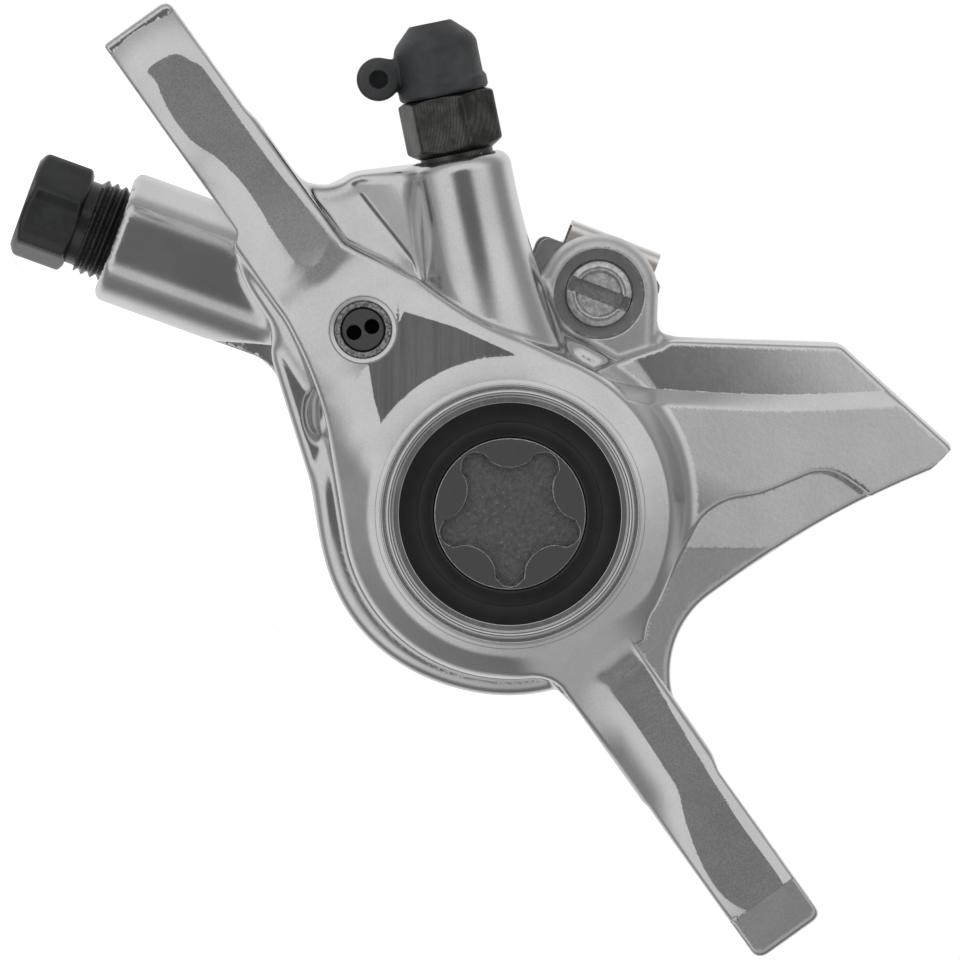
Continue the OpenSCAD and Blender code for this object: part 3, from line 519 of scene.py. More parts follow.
def hullFront(x, z, near):
    # round the plug and the bore: a flat with bevels that fall from it, and a low cone round the bore that
    # rolls over at a knee, close to the bore below and farther out towards the wing
    toPiston, toRight, toTop = near["toPiston"], near["toRight"], near["toTop"]
    towardsFlat = easeIn(0.891 * toTop - 0.454 * toRight, 0.55, 0.857)
    towardsWing = easeIn(0.94 * toRight + 0.342 * toTop, 0.26, 0.707)
    towardsArm = easeIn((x - pistonAt[0]) / np.maximum(toPiston, 1), 0.75, 0.95)
    edge = np.maximum(readMap(edgeMap, x, z), 0)
    along = np.clip(toPiston - lipRadius, 0, 2.3)
    rise = 0.575 - 0.2 * along - 0.0217 * along * along
    bulge = easeIn(x, -21, -15)
    flat = frontAt["flat"] + (0.28 + 0.07 * bulge) * edge + 0.05 * bulge * edge * edge
    flat = flat - np.where(toPiston < 12.6, rise, 0)
    out = np.maximum(toPiston - lipRadius, 0)
    knee = np.maximum(out - 0.9 - 1.4 * towardsWing, 0)
    cone = frontAt["cone"] + 0.22 * out + 0.11 * np.minimum(out, 1) ** 2 + 0.10 * np.maximum(out - 1, 0)
    steeper = np.maximum(0.75 + 0.4 * towardsWing - 0.6 * towardsArm, 0.15)
    cone = cone + steeper * (np.hypot(knee, 0.4) - 0.4)
    return flat * towardsFlat + cone * (1 - towardsFlat)


def wingParts(x, y, z, near, hull):
    # the main face runs out of the hull; then the crease and the terrace behind it, and the lower ledge
    plane = frontAt["wing"] + 0.02 * (x - 11) + 0.21 * (z - 20)
    main = -softMin(-plane, 6.3 - 0.15 * (x - 12), 1.5)
    crease = -readMap(terraceMap, x, z)
    drop = 0.4 + 0.0042 * np.maximum(33 - z, 0) ** 2
    face = softMin(main, hull, 0.8) + drop * np.clip((crease + 0.35) / 1.3, 0, 1) ** 1.3
    top = roundMax(roundMax(near["wing"], readMap(upperStep, x, z), 0.3), face - y, 0.4)
    top = np.maximum(top, y - 4.0)
    ledge = roundMax(plane + 1.1, -4.4 + 0.17 * (x - 19) + 0.1 * (z - 12), 0.5)
    webs = slabOf(roundMin(near["front"] + 0.4, near["wing"], 7.5), ledge, 6.5, y, 0.5, 0.6)
    return np.minimum(top, webs)


def armFront(x, z):
    # a flat strip down the middle, and bevels that fall away from it
    beyond = np.maximum(np.minimum(readMap(rearStripMap, x, z), readMap(frontStripMap, x, z)), 0)
    fall = 0.3 * beyond + 0.07 * beyond * beyond + 0.05 * beyond * beyond * ((x > 0) & (z < 3.2))
    height = frontAt["arm"] + fall
    height = np.where(x > 41.2, frontAt["frontEnd"] + 0.17 * (x - 41.2), height)
    return np.where(x < -44.3, np.minimum(height, frontAt["rearEnd"]), height)


def armsAndHull(x, y, z, near, hull):
    # both arms and the hull share one front
    rear, front = near["rear"], near["front"]
    face = softMin(armFront(x, z), np.minimum(hull, -3.4), 1.6)
    outline = roundMin(roundMin(rear, wrapped(x, z, channelAt, 4.1, pistonAt, 13.3), 2.5), front, 1.5)
    arms = slabOf(np.minimum(rear, front), face, 6.5, y, 0.5, 0.8)
    land = slabOf(outline, face, -2.0, y, 0.5, 0.3)
    under = slabOf(roundMin(front + 0.5, near["toPiston"] - 14.3, 1.8), -2.5, 6.3, y, 0.8, 0.8)
    return roundMin(np.minimum(arms, land), under, 0.5)


def pressedHollow(x, y, z):
    # in the flank, longer than it is wide
    sideways, lengthwise = inImage(x, z, (-11.0, -3.0))
    return (np.sqrt((lengthwise / 2.1) ** 2 + (sideways / 1.15) ** 2 + ((y + 2.8) / 1.3) ** 2) - 1) * 1.1


def padSpace(x, y, z):
    # the pads' pocket and the rotor's slot
    t = (x - pistonAt[0]) * padTangent[0] + (z - pistonAt[1]) * padTangent[1]
    r = (x - pistonAt[0]) * padRadial[0] + (z - pistonAt[1]) * padRadial[1]
    depth = np.abs(y - rotorPlane)
    pocket = np.maximum(np.maximum(np.abs(t) - 14.2, depth - 6.3), -17 - r)
    return np.minimum(pocket, np.maximum(disc(x, z, wheelAxleAt, 81), depth - 2.9))


def seatsAt(x, y, z):
    # the mating faces and washer seats run out of the arms in soft steps
    reach = np.where(x < 0, 3.0 - x, x)
    low = -1.4 * (1 - easeIn(reach, 28.2, 30)) - 1.5 * np.maximum(28.6 - reach, 0) ** 1.5
    reach = np.where(x < 0, -3.4 - x, x)
    high = 7.3 - easeIn(reach, 27.6, 31.2) + 1.5 * np.maximum(28.2 - reach, 0) ** 1.5
    seats = np.maximum(np.minimum(z - low, high - z) * 0.7, y - 7.5)
    return np.maximum(seats, 20 - np.abs(x))


def axleBores(x, y, z):
    # from the front: the head's countersink and its seat, the shank, and the clip's clearance
    toAxle = disc(x, z, padAxleAt)
    bores = np.minimum(np.maximum(toAxle - 3.6, y - 1.1), np.maximum(toAxle - 2.72, y - rotorPlane))
    bores = np.minimum(bores, np.maximum(toAxle - 2.02, rotorPlane - y))
    return np.minimum(bores, np.maximum(toAxle - 3.6, 21.4 - y))


def machinedCuts(f, x, y, z, toPiston):
    # pads and rotor, cylinders and cap, seats, bolt slots, plug, nipple, nut and axle
    f = roundMax(f, -padSpace(x, y, z), 0.25)
    cylinders = np.maximum(toPiston - 11, np.abs(y - rotorPlane) - 15.5)
    f = np.maximum(f, -np.minimum(cylinders, np.maximum(toPiston - 9.5, y + 5.8)))
    f = roundMax(f, -seatsAt(x, y, z), 0.2)
    boltSlots = np.hypot(np.maximum(np.abs(y) - 1.7, 0), np.abs(x) - 37) - 3.3
    f = roundMax(f, -boltSlots, 0.25)
    f = np.maximum(f, -np.maximum(disc(x, z, channelAt) - 2.55, y + 4.6))
    s, u, v = aimed(x, y, z, bleedLine)
    f = np.maximum(f, -np.maximum(np.hypot(u, v) - 3.0, -6 - s))
    s, u, v = aimed(x, y, z, portLine)
    f = np.maximum(f, -np.maximum(np.hypot(u, v) - 4.0 - np.clip(s + 0.6, 0, 0.6), -9 - s))
    return roundMax(f, -axleBores(x, y, z), 0.15)


def bodyField(x, y, z):
    near = sideView(x, z)
    hull = hullFront(x, z, near)
    machined = armsAndHull(x, y, z, near, hull)
    f = roundMin(castParts(x, y, z, near), np.minimum(machined, wingParts(x, y, z, near, hull)), 0.5)
    # the bore's lip is turned as a piece of its own
    f = np.maximum(f, -np.maximum(near["toPiston"] - lipRadius, y + 7.9))
    f = roundMax(f, -pressedHollow(x, y, z), 0.5)
    return machinedCuts(f, x, y, z, near["toPiston"])


def frontField(x, y, z):
    return np.maximum(bodyField(x, y, z), y - bodyLook["split"])


def backField(x, y, z):
    return np.maximum(bodyField(x, y, z), bodyLook["split"] - y)


bodyLow, bodyHigh = bodyLook["low"], bodyLook["high"]
frontHigh = (bodyHigh[0], bodyLook["split"] + 0.6, bodyHigh[2])
backLow = (bodyLow[0], bodyLook["split"] - 0.9, bodyLow[2])
bodyHalves = [
    solidFrom("body_front", frontField, bodyLow, frontHigh, bodyLook["frontStep"], bodyLook["mostFront"]),
    solidFrom("body_back", backField, backLow, bodyHigh, bodyLook["backStep"]),
]
for half in bodyHalves:
    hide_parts("caliper_body")
    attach(half, "caliper")


# Turned pieces

def turned(name, at, profile, turns=256):
    # a closed profile of (radius, y) points, turned about an axis along Y
    profile = np.asarray(profile, float)
    angle = np.arange(turns) * 2 * math.pi / turns
    x = at[0] + profile[:, 0][:, None] * np.cos(angle)
    z = at[1] + profile[:, 0][:, None] * np.sin(angle)
    y = np.repeat(profile[:, 1][:, None], turns, axis=1)
    vertices = np.stack([x, y, z], 2).reshape(-1, 3)
    rows = len(profile)
    i = np.arange(rows)[:, None]
    j = np.arange(turns)[None, :]
    a = (i * turns + j).ravel()
    b = (i * turns + (j + 1) % turns).ravel()
    c = ((i + 1) % rows * turns + (j + 1) % turns).ravel()
    d = ((i + 1) % rows * turns + j).ravel()
    faces = np.stack([a, b, c, d], 1)
    return makeObject(name, vertices, faces)


rimProfile = [
    (8.88, -7.6), (8.88, -8.1), (8.9, -8.13), (8.93, -8.14), (8.96, -8.141), (9.3, -8.141), (9.36, -8.142),
    (9.4, -8.16), (9.42, -8.22), (9.48, -8.75), (9.56, -8.96), (9.7, -9.0), (9.85, -8.98), (9.95, -8.9),
    (10.0, -8.72), (10.03, -8.45), (10.1, -8.38), (10.16, -8.46), (10.2, -8.58), (10.26, -8.65),
    (10.36, -8.67), (10.42, -8.63), (10.47, -8.59), (10.55, -8.55), (10.7, -8.51), (10.78, -8.48),
    (10.82, -8.42), (10.83, -7.8), (9.6, -7.6), (9.48, -7.6),
]
lipProfile = [
    (2.3, -6.6), (2.3, -7.84), (2.34, -7.9), (2.4, -7.93), (2.62, -8.02), (2.7, -8.04), (2.76, -8.02),
    (2.79, -7.95), (2.79, -7.0), (2.6, -6.6),
]
rims = [turned("bore_rim", pistonAt, rimProfile), turned("plug_lip", channelAt, lipProfile, turns=128)]
for rim in rims:
    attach(rim, "caliper")


# Small pieces

coreLook = {"radius": 6.09, "face": -8.0, "back": -6.5, "floor": -7.2, "turn": -35.5, "arms": 5}


def starSide(x, z):
    # a disc with a round bite between each two arms, and a round tip on each arm
    turn = math.radians(coreLook["turn"])
    a = (x - pistonAt[0]) * math.cos(turn) + (z - pistonAt[1]) * math.sin(turn)
    b = -(x - pistonAt[0]) * math.sin(turn) + (z - pistonAt[1]) * math.cos(turn)
    side = np.hypot(a, b) - 5.2
    pitch = 360 // coreLook["arms"]
    for k in range(coreLook["arms"]):
        way = math.radians(pitch * k + pitch // 2)
        side = np.maximum(side, 2.7 - np.hypot(a - 6.37 * math.cos(way), b - 6.37 * math.sin(way)))
    for k in range(coreLook["arms"]):
        way = math.radians(pitch * k)
        tip = np.hypot(a - 4.75 * math.cos(way), b - 4.75 * math.sin(way)) - 1.05
        side = roundMin(side, tip, 0.3)
    return side


def coreField(x, y, z):
    side = disc(x, z, pistonAt, coreLook["radius"])
    plate = slabOf(side, coreLook["face"], coreLook["back"], y, 0.12, 0.1)
    return roundMax(plate, -np.maximum(starSide(x, z), y - coreLook["floor"]), 0.09)


plugLook = {"radius": 2.29, "face": -7.84, "back": -4.7, "pinHole": 0.6, "pinOut": 0.75, "pinAngle": 73}


def plugField(x, y, z):
    r = disc(x, z, channelAt)
    plug = slabOf(r - plugLook["radius"], plugLook["face"], plugLook["back"], y, 0.12, 0.2)
    plug = roundMax(plug, -np.maximum(r - 1.7, y + 7.64), 0.08)
    groove = np.maximum(np.abs(r - 1.74) - 0.08, y + 7.35)
    plug = np.maximum(plug, -groove)
    way = math.radians(plugLook["pinAngle"])
    for side in (-1, 1):
        out = side * plugLook["pinOut"]
        at = (channelAt[0] + out * math.cos(way), channelAt[1] + out * math.sin(way))
        plug = roundMax(plug, -np.maximum(disc(x, z, at, plugLook["pinHole"]), y + 6.7), 0.06)
    return plug


def axleField(x, y, z):
    r = disc(x, z, padAxleAt)
    head = roundMax(roundMax(r - 2.7, 0.0 - y + 0.6 * np.maximum(r - 2.2, 0), 0.12), y - 5.0, 0.1)
    head = roundMax(head, -np.maximum(r - 1.9 + 0.5 * y, y - 0.45), 0.1)
    shank = slabOf(r - 2.0, 4.0, 23.7, y, 0.1, 0.4)
    shank = np.maximum(shank, -np.maximum(1.55 - r, np.abs(y - 22.05) - 0.35))
    whole = np.minimum(head, shank)
    across = -(x - padAxleAt[0]) * math.sin(padTilt) + (z - padAxleAt[1]) * math.cos(padTilt)
    return roundMax(whole, -np.maximum(np.abs(across) - 0.55, y - 1.2), 0.11)


def hexSide(u, v, flats, turn):
    side = -1e3
    for k in range(6):
        w = math.radians(turn + 30 + 60 * k)
        side = np.maximum(side, u * math.cos(w) + v * math.sin(w) - flats / 2)
    return side


def nutField(x, y, z):
    s, u, v = aimed(x, y, z, portLine)
    r = np.hypot(u, v)
    head = roundMax(hexSide(u, v, 8.0, 11), r - 4.48, 0.25)
    head = roundMax(head, s - 7.74 + 0.55 * np.maximum(r - 3.6, 0), 0.3)
    head = roundMax(head, 3.1 - s + 0.5 * np.maximum(r - 3.8, 0), 0.2)
    phase = s / 0.75 - np.arctan2(v, u) / (2 * math.pi)
    ridge = 2 * np.abs(phase - np.floor(phase) - 0.5)
    thread = (r - 3.62 - 0.36 * np.clip(1.35 * ridge - 0.15, 0, 1)) * 0.75
    thread = np.maximum(np.maximum(thread, s - 2.25), -1.5 - s)
    stem = np.maximum(np.maximum(r - 3.5, s - 3.5), -8.5 - s)
    nut = np.minimum(np.minimum(head, thread), stem)
    bore = r - 2.5 - 0.6 * np.clip((s - 7.3) / 0.6, 0, 1)
    return roundMax(nut, -bore, 0.1)


def nippleField(x, y, z):
    s, u, v = aimed(x, y, z, bleedLine)
    r = np.hypot(u, v)
    head = roundMax(hexSide(u, v, 7.0, 12), r - 3.97, 0.15)
    head = roundMax(head, 0.3 - s + 0.62 * np.maximum(r - 2.9, 0), 0.15)
    head = roundMax(head, s - 5.1 + 0.45 * np.maximum(r - 3.3, 0), 0.12)
    stem = np.maximum(np.maximum(r - 2.93, s - 1.0), -8.0 - s)
    tip = np.maximum((r - 0.9 - (s + 9.9) * 1.2) * 0.64, np.abs(s + 8.9) - 1.0)
    neck = roundMax(np.maximum(r - 1.8 - 0.4 * np.clip((s - 6.4) / 0.6, 0, 1), 4.0 - s), s - 8.9, 0.4)
    whole = np.minimum(np.minimum(head, stem), np.minimum(tip, neck))
    return np.maximum(whole, 0.7 - r)


def rubberField(x, y, z):
    s, u, v = aimed(x, y, z, bleedLine)
    r = np.hypot(u, v)
    cap = roundMax(r - 3.4, s - 11.0 + 0.95 * np.maximum(r - 1.7, 0), 0.5)
    cap = np.maximum(cap, 5.16 - s)
    lip = roundMax(roundMax(r - 3.62, 5.16 - s, 0.3), s - 6.4, 0.4)
    cap = roundMin(cap, lip, 0.15)
    cap = np.maximum(cap, -np.maximum(r - 2.5, s - 9.5))
    loop = np.hypot(u - 4.95, s - 7.4)
    ring = roundMax(loop - 1.75, np.abs(v) - 1.2, 0.4)
    strap = roundMax(roundMax(np.abs(s - 8.2) - 0.55, np.abs(v) - 1.2, 0.35), np.abs(u - 4.1) - 1.0, 0.1)
    ring = roundMin(ring, strap, 0.3)
    ring = roundMax(ring, -np.maximum(loop - 0.72, v - 0.3), 0.2)
    return roundMin(cap, ring, 0.25)


def aimedBox(line, s0, s1, reach):
    out = direction(line["angle"])
    ends = np.array([[line["at"][0] + s * out[0], line["y"], line["at"][1] + s * out[1]] for s in (s0, s1)])
    return ends.min(0) - reach, ends.max(0) + reach


coarse = 1.0
smallPieces = [
    {"name": "core_plate", "field": coreField, "box": ((-2.1, -8.2, -1.6), (10.5, -6.3, 11.0)),
     "step": 0.12, "replaces": "cap_core", "slot": "core_metal", "body": "caliper"},
    {"name": "staked_plug", "field": plugField, "box": ((-17.2, -8.1, 1.1), (-12.0, -4.5, 6.3)),
     "step": 0.075, "replaces": "channel_plug", "slot": "dark_steel", "body": "caliper"},
    {"name": "slotted_axle", "field": axleField, "box": ((-8.6, -0.3, 17.9), (-2.8, 23.9, 23.7)),
     "step": 0.13, "replaces": "pad_axle", "slot": "axle_steel", "body": "caliper"},
    {"name": "threaded_nut", "field": nutField, "box": aimedBox(portLine, -8.7, 8.0, 4.7),
     "step": 0.14, "replaces": "hose_nut", "slot": "nut_steel", "body": "caliper"},
    {"name": "hex_nipple", "field": nippleField, "box": aimedBox(bleedLine, -10.1, 9.1, 4.3),
     "step": 0.15, "replaces": "bleed_nipple", "slot": "dark_steel", "body": "bleed_screw"},
    {"name": "rubber_cap", "field": rubberField, "box": aimedBox(bleedLine, 5.0, 11.2, 7.2),
     "step": 0.15, "replaces": "bleed_cap", "slot": "cap_rubber", "body": "bleed_cap"},
]
pieces = {}
for row in smallPieces:
    piece = solidFrom(row["name"], row["field"], row["box"][0], row["box"][1], row["step"] * coarse)
    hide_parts(row["replaces"])
    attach(piece, row["body"])
    pieces[row["name"]] = piece

capProfile = [
    (6.12, -6.4), (6.12, -7.9), (6.2, -7.99), (6.35, -8.0), (7.3, -8.0), (7.38, -7.96), (7.46, -8.0),
    (8.95, -8.0), (9.2, -7.99), (9.38, -7.9), (9.46, -7.75), (9.47, -7.0), (8.7, -6.99), (8.7, -6.19),
    (9.47, -6.18), (9.47, -5.82), (0.02, -5.8), (0.02, -6.39),
]
ringPiece = turned("cap_ring", pistonAt, capProfile)
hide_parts("bore_cap")
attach(ringPiece, "caliper")
pieces["cap_ring"] = ringPiece


# Materials

class Wire:
    # one output of a shader tree, with arithmetic that adds Math nodes
    def __init__(self, tree, socket):
        self.tree = tree
        self.socket = socket

    def math(self, operation, *values):
        node = self.tree.nodes.new("ShaderNodeMath")
        node.operation = operation
        for index, value in enumerate(values):
            if isinstance(value, Wire):
                self.tree.links.new(value.socket, node.inputs[index])
            else:
                node.inputs[index].default_value = value
        return Wire(self.tree, node.outputs[0])

    def __add__(self, other):
        return self.math("ADD", self, other)

    def __sub__(self, other):
        return self.math("SUBTRACT", self, other)

    def __rsub__(self, other):
        return self.math("SUBTRACT", other, self)

    def __mul__(self, other):
        return self.math("MULTIPLY", self, other)

    def __truediv__(self, other):
        return self.math("DIVIDE", self, other)

    def __pow__(self, other):
        return self.math("POWER", self, other)

    def largest(self, other):
        return self.math("MAXIMUM", self, other)

    __radd__ = __add__
    __rmul__ = __mul__

    def ease(self, low, high, a=0.0, b=1.0):
        node = self.tree.nodes.new("ShaderNodeMapRange")
        node.interpolation_type = "SMOOTHSTEP"
        for index, value in enumerate((None, low, high, a, b)):
            if value is not None:
                node.inputs[index].default_value = value
        self.tree.links.new(self.socket, node.inputs[0])
        return Wire(self.tree, node.outputs[0])


class Finish:
    # the tree of a material or of the world: node() makes any node from its type, inputs and settings
    def __init__(self, name, world=False):
        if world:
            self.data = bpy.data.worlds.new(name)
        else:
            self.data = bpy.data.materials.new(name)
        self.data.use_nodes = True
        self.tree = self.data.node_tree
        self.tree.nodes.clear()

    def node(self, kind, inputs=None, out=0, **settings):
        node = self.tree.nodes.new(kind)
        for key, value in settings.items():
            setattr(node, key, value)
        for key, value in (inputs or {}).items():
            if isinstance(value, Wire):
                self.tree.links.new(value.socket, node.inputs[key])
            else:
                node.inputs[key].default_value = value
        return Wire(self.tree, node.outputs[out])

    def place(self):
        return self.node("ShaderNodeTexCoord", out="Object")

    def parts(self, vector):
        node = self.tree.nodes.new("ShaderNodeSeparateXYZ")
        self.tree.links.new(vector.socket, node.inputs[0])
        return [Wire(self.tree, node.outputs[i]) for i in range(3)]

    def noise(self, vector, scale, detail=4.0, rough=0.55, stretch=(1, 1, 1), turn=(0, 0, 0)):
        # the mapping turns a point back first, and then divides it by the stretch
        mapping = {"Vector": vector, "Scale": stretch, "Rotation": turn}
        moved = self.node("ShaderNodeMapping", mapping, vector_type="TEXTURE")
        settings = {"Vector": moved, "Scale": scale, "Detail": detail, "Roughness": rough}
        return self.node("ShaderNodeTexNoise", settings)

    def mixed(self, amount, a, b):
        return self.node("ShaderNodeMix", {0: amount, 6: a, 7: b}, out=2, data_type="RGBA")

    def bump(self, height, strength, distance, normal=None):
        inputs = {"Height": height, "Strength": strength, "Distance": distance}
        if normal is not None:
            inputs["Normal"] = normal
        return self.node("ShaderNodeBump", inputs)

    def surface(self, inputs):
        shader = self.node("ShaderNodeBsdfPrincipled", inputs)
        output = self.tree.nodes.new("ShaderNodeOutputMaterial")
        self.tree.links.new(shader.socket, output.inputs[0])
        return self.data


def colour(value, tint=(1, 1, 1)):
    return (value * tint[0], value * tint[1], value * tint[2], 1.0)


def fromLine(x, z, at):
    # the distance in the side view, in metres, from an axis that is given in millimetres
    return ((x - at[0] * millimetre) ** 2.0 + (z - at[1] * millimetre) ** 2.0) ** 0.5


def bodyMetal():
    m = Finish("body_metal")
    at = m.place()
    x, y, z = m.parts(at)
    # brushing runs up the image, which is 54.5 degrees off the bolts' direction
    brush = m.noise(at, 1500, 3, 0.65, (1, 1, 28), (0, -imageTurn, 0))
    broad = m.noise(at, 160, 5, 0.6)
    fine = m.noise(at, 2600, 3, 0.6)
    grain = m.noise(at, 7500, 2, 0.6)
    normalY = m.parts(m.node("ShaderNodeNewGeometry", out="Normal"))[1]
    facing = (normalY * -1).ease(0.985, 0.9995)
    hull = (y * -1).ease(0.0074, 0.0078) * facing
    strip = facing * (y * -1).ease(0.0062, 0.0064) * (1 - hull) * (1 - z.ease(0.0066, 0.0072))
    # round the pad axle the casting keeps its blasted skin, and the seat of the head is darkened with painted
    # shade
    toAxle = fromLine(x, z, padAxleAt)
    lug = (1 - toAxle.ease(0.0066, 0.0092)) * y.ease(-0.0012, -0.0003) * (1 - y.ease(0.0060, 0.0070))
    seatShade = (1 - toAxle.ease(0.0036, 0.0037)) * y.ease(0.0004, 0.0009)
    base = m.mixed(broad.ease(0.3, 0.7), colour(0.69, (1, 1, 1.01)), colour(0.79, (1, 1, 1.01)))
    speckle = (grain - 0.5) * (0.5 + strip * 1.6 + hull * 0.7) + 0.5
    base = m.mixed(speckle, m.mixed(0.28, base, colour(0.0)), m.mixed(0.28, base, colour(1.0)))
    base = m.mixed(brush.ease(0.35, 0.65) * hull * 0.45, base, colour(0.42, (0.97, 1, 1.06)))
    # painted shade: the head's seat, deep in its recess, is mixed towards black
    base = m.mixed(seatShade * 0.4, base, colour(0.05))
    rough = 0.14 + broad * 0.05 + strip * 0.14 + hull * 0.05 + fine * 0.05 + lug * 0.26
    normal = m.bump(brush, hull * 0.35 + 0.03, 0.00004)
    normal = m.bump(fine, 0.10 + lug * 0.6, 0.00004, normal)
    return m.surface({"Base Color": base, "Metallic": 1.0, "Roughness": rough, "Normal": normal})


def mottled(name, low, high, rough, tint=(1, 1, 1), grain=1500, bumps=0.2,
            metallic=1.0, spread=0.12, depth=0.00005):
    # broad patches between two tones, with a fine grain in the roughness and the bump
    m = Finish(name)
    at = m.place()
    broad = m.noise(at, 300, 5, 0.6)
    fine = m.noise(at, grain, 4, 0.6)
    base = m.mixed(broad.ease(0.3, 0.7), colour(low, tint), colour(high, tint))
    inputs = {"Base Color": base, "Metallic": metallic, "Roughness": rough + fine * spread,
              "Normal": m.bump(fine, bumps, depth)}
    return m.surface(inputs)


def dull(name, low, high, rough, tint=(1, 1, 1), grain=1500, bumps=0.3):
    return mottled(name, low, high, rough, tint, grain, bumps, metallic=0.0, spread=0.15, depth=0.00006)


def coreMetal():
    # polished face, blasted floor in the star
    m = Finish("core_metal_worked")
    at = m.place()
    low = m.parts(at)[1].ease(-0.0077, -0.0074)
    grit = m.noise(at, 5200, 2, 0.7)
    coarse = m.noise(at, 2600, 4, 0.7)
    spark = grit.ease(0.64, 0.76)
    face = m.mixed(coarse, colour(0.37), colour(0.44))
    floor = m.mixed(coarse.ease(0.3, 0.7), colour(0.14), colour(0.21))
    floor = m.mixed(spark * 0.6, floor, colour(0.55))
    base = m.mixed(low, face, floor)
    rough = 0.11 + low * (0.33 + coarse * 0.2)
    normal = m.bump(grit, low * 0.5, 0.00006)
    normal = m.bump(coarse, low * 0.35 + 0.02, 0.00015, normal)
    return m.surface({"Base Color": base, "Metallic": 1.0, "Roughness": rough, "Normal": normal})


def plugMetal():
    # staked ring round a darker disc, with deep pin holes; the groove and the pin holes are painted nearly
    # black as painted shade
    m = Finish("dark_steel_staked")
    at = m.place()
    x, y, z = m.parts(at)
    ringed = fromLine(x, z, channelAt).ease(0.00170, 0.00178)
    holeShade = y.ease(-0.00760, -0.00725)
    grit = m.noise(at, 4200, 3, 0.7)
    coarse = m.noise(at, 4500, 3, 0.7)
    middle = m.mixed(grit, colour(0.11), colour(0.17))
    ring = m.mixed(coarse.ease(0.35, 0.65), colour(0.14), colour(0.5))
    base = m.mixed(ringed, middle, ring)
    # painted shade: deeper than the inner disc, the groove and the pin holes go nearly black
    base = m.mixed(holeShade, base, colour(0.006))
    normal = m.bump(coarse, ringed * 0.8 + 0.15, 0.00012)
    normal = m.bump(grit, 0.4, 0.00004, normal)
    return m.surface({"Base Color": base, "Metallic": 1.0, "Roughness": 0.4 + grit * 0.2, "Normal": normal})


def nippleMetal():
    # phosphated steel with the faint arcs that the cutter left on its flats
    m = Finish("phosphate_cut")
    at = m.place()
    moved = m.node("ShaderNodeMapping", {"Vector": at, "Location": (0.0292, 0.0, -0.0125)})
    wave = {"Vector": moved, "Scale": 1300.0, "Distortion": 2.5, "Detail": 2.0, "Detail Scale": 1.5}
    rings = m.node("ShaderNodeTexWave", wave, out="Fac", wave_type="RINGS", rings_direction="SPHERICAL")
    grit = m.noise(at, 3200, 4, 0.65)
    broad = m.noise(at, 420, 4, 0.6)
    base = m.mixed(broad.ease(0.3, 0.7), colour(0.05, (1.0, 0.98, 0.93)), colour(0.11, (1.0, 0.98, 0.93)))
    base = m.mixed(rings.ease(0.3, 0.9) * broad.ease(0.4, 0.6) * 0.5, base, colour(0.17))
    normal = m.bump(rings, broad.ease(0.35, 0.6) * 0.12, 0.00005)
    normal = m.bump(grit, 0.35, 0.00005, normal)
    return m.surface({"Base Color": base, "Metallic": 1.0, "Roughness": 0.3 + grit * 0.15, "Normal": normal})


def axleMetal():
    # sawn and tumbled head: a grainy face inside a bright chamfer, with painted shade in the slot and behind
    # the face
    m = Finish("axle_steel_head")
    at = m.place()
    x, y, z = m.parts(at)
    face = 1 - fromLine(x, z, padAxleAt).ease(0.0018, 0.00195)
    pits = m.noise(at, 1900, 4, 0.7)
    grit = m.noise(at, 5200, 3, 0.65)
    base = m.mixed(pits.ease(0.3, 0.7), colour(0.52), colour(0.86))
    base = m.mixed(face * grit.ease(0.4, 0.7) * 0.5, base, colour(0.3))
    # painted shade: deeper than the head's face, the slot floor and the shank are mixed towards dark
    base = m.mixed(y.ease(0.0003, 0.0009) * 0.5, base, colour(0.16))
    rough = 0.24 + face * 0.26 + pits * 0.12
    normal = m.bump(pits, 0.25 + face * 0.5, 0.00009)
    normal = m.bump(grit, 0.3, 0.00004, normal)
    return m.surface({"Base Color": base, "Metallic": 1.0, "Roughness": rough, "Normal": normal})


finishes = {
    "body_metal": bodyMetal(),
    "black_anodised": dull("black_anodised", 0.003, 0.006, 0.30),
    "core_metal": mottled("core_metal", 0.42, 0.6, 0.38, grain=2500, bumps=0.5),
    "seal_rubber": dull("seal_rubber", 0.01, 0.02, 0.55),
    "dark_steel": mottled("dark_steel", 0.14, 0.3, 0.42, bumps=0.5),
    "piston_ceramic": dull("piston_ceramic", 0.62, 0.75, 0.3, (1, 0.95, 0.85)),
    "plate_steel": mottled("plate_steel", 0.4, 0.55, 0.35),
    "lining": dull("lining", 0.06, 0.2, 0.8, (1, 0.85, 0.7), grain=1200, bumps=0.8),
    "spring_steel": mottled("spring_steel", 0.78, 0.92, 0.3, (1, 0.95, 0.925)),
    "axle_steel": mottled("axle_steel", 0.55, 0.75, 0.28, bumps=0.4),
    "cap_rubber": dull("cap_rubber", 0.018, 0.035, 0.42, (0.95, 1, 1.08)),
    "nut_steel": dull("nut_steel", 0.008, 0.02, 0.16, (0.95, 1, 1.06), bumps=0.25),
    "brass": mottled("brass", 0.6, 0.75, 0.3, (1, 0.78, 0.4)),
    "phosphate": mottled("phosphate", 0.09, 0.16, 0.38, (1.0, 0.98, 0.9), bumps=0.4),
}
nodesOf = {
    "black_anodised": ["bore_cap"], "core_metal": ["cap_core"], "dark_steel": ["channel_plug"],
    "seal_rubber": ["bore_cap_oring", "outboard_piston_seal", "inboard_piston_seal"],
    "piston_ceramic": ["outboard_piston", "inboard_piston"],
    "plate_steel": ["outboard_pad_plate", "inboard_pad_plate"],
    "lining": ["outboard_pad_lining", "inboard_pad_lining"],
    "spring_steel": ["pad_spring", "pad_axle_clip"], "axle_steel": ["pad_axle"], "brass": ["hose_olive"],
    "phosphate": ["bleed_nipple"], "cap_rubber": ["bleed_cap"], "nut_steel": ["hose_nut"],
}
for key, names in nodesOf.items():
    for name in names:
        for place in nodes[name].material_slots:
            place.material = finishes[key]
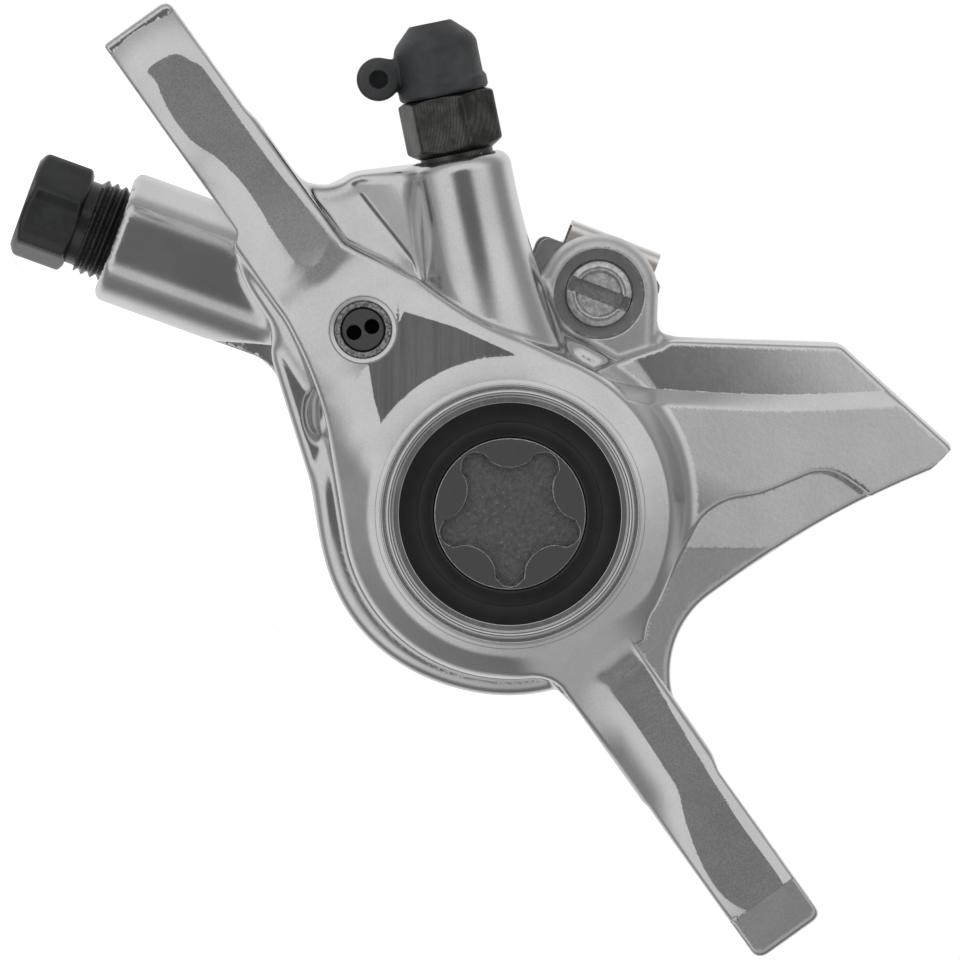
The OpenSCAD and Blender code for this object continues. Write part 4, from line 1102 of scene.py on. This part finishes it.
for piece in bodyHalves + rims:
    piece.data.materials.append(finishes["body_metal"])
pieceFinish = {
    "core_plate": coreMetal(), "staked_plug": plugMetal(), "slotted_axle": axleMetal(),
    "threaded_nut": finishes["nut_steel"], "hex_nipple": nippleMetal(), "rubber_cap": finishes["cap_rubber"],
    "cap_ring": finishes["black_anodised"],
}
for name, finish in pieceFinish.items():
    pieces[name].data.materials.append(finish)


# Camera: the photograph's view, nearly along the piston axis, with the caliper turned on its side

cameraLook = {"distance": 1.0, "aim": (0.8, -3.0, 4.3), "toRear": 0.04, "up": 0.005, "width": 77.05}
sensorWidth = 36


def placeCamera():
    look = cameraLook
    aim = Vector(look["aim"]) * millimetre
    back = Vector((-look["toRear"], -1.0, look["up"])).normalized()
    up = Vector((-imageRight[1], 0.0, imageRight[0]))
    right = up.cross(back).normalized()
    up = back.cross(right)
    data = bpy.data.cameras.new("camera")
    data.sensor_width = sensorWidth
    data.lens = sensorWidth * look["distance"] / (look["width"] * millimetre)
    data.clip_start = 0.01
    made = bpy.data.objects.new("camera", data)
    bpy.context.scene.collection.objects.link(made)
    at = aim + back * look["distance"]
    made.matrix_world = Matrix(((right.x, up.x, back.x, at.x), (right.y, up.y, back.y, at.y),
                                (right.z, up.z, back.z, at.z), (0, 0, 0, 1)))
    bpy.context.scene.camera = made


placeCamera()
bpy.context.scene.view_settings.view_transform = "Standard"


def studioWorld():
    # white to the camera; to reflections a studio with a dark card behind the camera
    m = Finish("studio", world=True)
    way = m.node("ShaderNodeTexCoord", out="Generated")
    x, y, z = m.parts(way)
    right = x * imageRight[0] + z * imageRight[1]
    up = z * imageRight[0] - x * imageRight[1]
    near = y * -1
    # distance from the camera's own direction, as the reflections see it
    off = ((right - 0.03) ** 2.0 + (up + 0.03) ** 2.0) ** 0.5
    ahead = near.ease(-0.1, 0.1)
    front = off.ease(0.26, 0.50) * ahead + (1 - ahead)
    clear = off.largest(0.02)
    across = right / clear
    upwards = up / clear
    ring = 0.80 - (across * 0.58 - upwards * 0.81).ease(0.2, 1.0) * 0.32
    rim = 0.32 - across * 0.04 + upwards * 0.12
    behind = 0.85
    wide = near.ease(0.15, 0.65)
    far = near.ease(-0.7, -0.1)
    tone = ring * wide + (rim * far + behind * (1 - far)) * (1 - wide)
    tone = tone * front + (1 - front) * 0.15
    path = m.tree.nodes.new("ShaderNodeLightPath")
    camera, diffuse, through = [Wire(m.tree, path.outputs["Is %s Ray" % kind])
                                for kind in ("Camera", "Diffuse", "Transmission")]
    plain = camera.largest(diffuse).largest(through)
    strength = plain + (1 - plain) * tone
    shader = m.node("ShaderNodeBackground", {"Color": (1, 1, 1, 1), "Strength": strength})
    output = m.tree.nodes.new("ShaderNodeOutputWorld")
    m.tree.links.new(shader.socket, output.inputs[0])
    bpy.context.scene.world = m.data


studioWorld()


def softLight(name, at, size, power):
    data = bpy.data.lights.new(name, "AREA")
    data.shape = "RECTANGLE"
    data.size, data.size_y = size
    data.energy = power
    made = bpy.data.objects.new(name, data)
    bpy.context.scene.collection.objects.link(made)
    made.location = at
    made.rotation_euler = (Vector((0, 0, 0.005)) - Vector(at)).to_track_quat("-Z", "Y").to_euler()
    made.visible_glossy = False


softLight("key", (-0.55, -0.35, 0.55), (0.35, 0.35), 1.2)


floorLook = {"gap": 0.0002, "reach": 2.5, "lines": 9}


def layFloor():
    low = np.array(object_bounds()[0])
    level = float(low[2]) - floorLook["gap"]
    n = floorLook["lines"]
    line = np.linspace(-floorLook["reach"], floorLook["reach"], n)
    vertices = [(a * 1000, b * 1000, level * 1000) for a in line for b in line]
    corners = [i * n + j for i in range(n - 1) for j in range(n - 1)]
    made = makeObject("floor", vertices, [(k, k + n, k + n + 1, k + 1) for k in corners])
    m = Finish("floor")
    base = m.mixed(m.noise(m.place(), 40, 3), colour(0.27), colour(0.29))
    glow = {"Emission Color": (1, 1, 1, 1), "Emission Strength": 0.85}
    made.data.materials.append(m.surface({"Base Color": base, "Roughness": 0.8, **glow}))
    made.visible_glossy = False


layFloor()
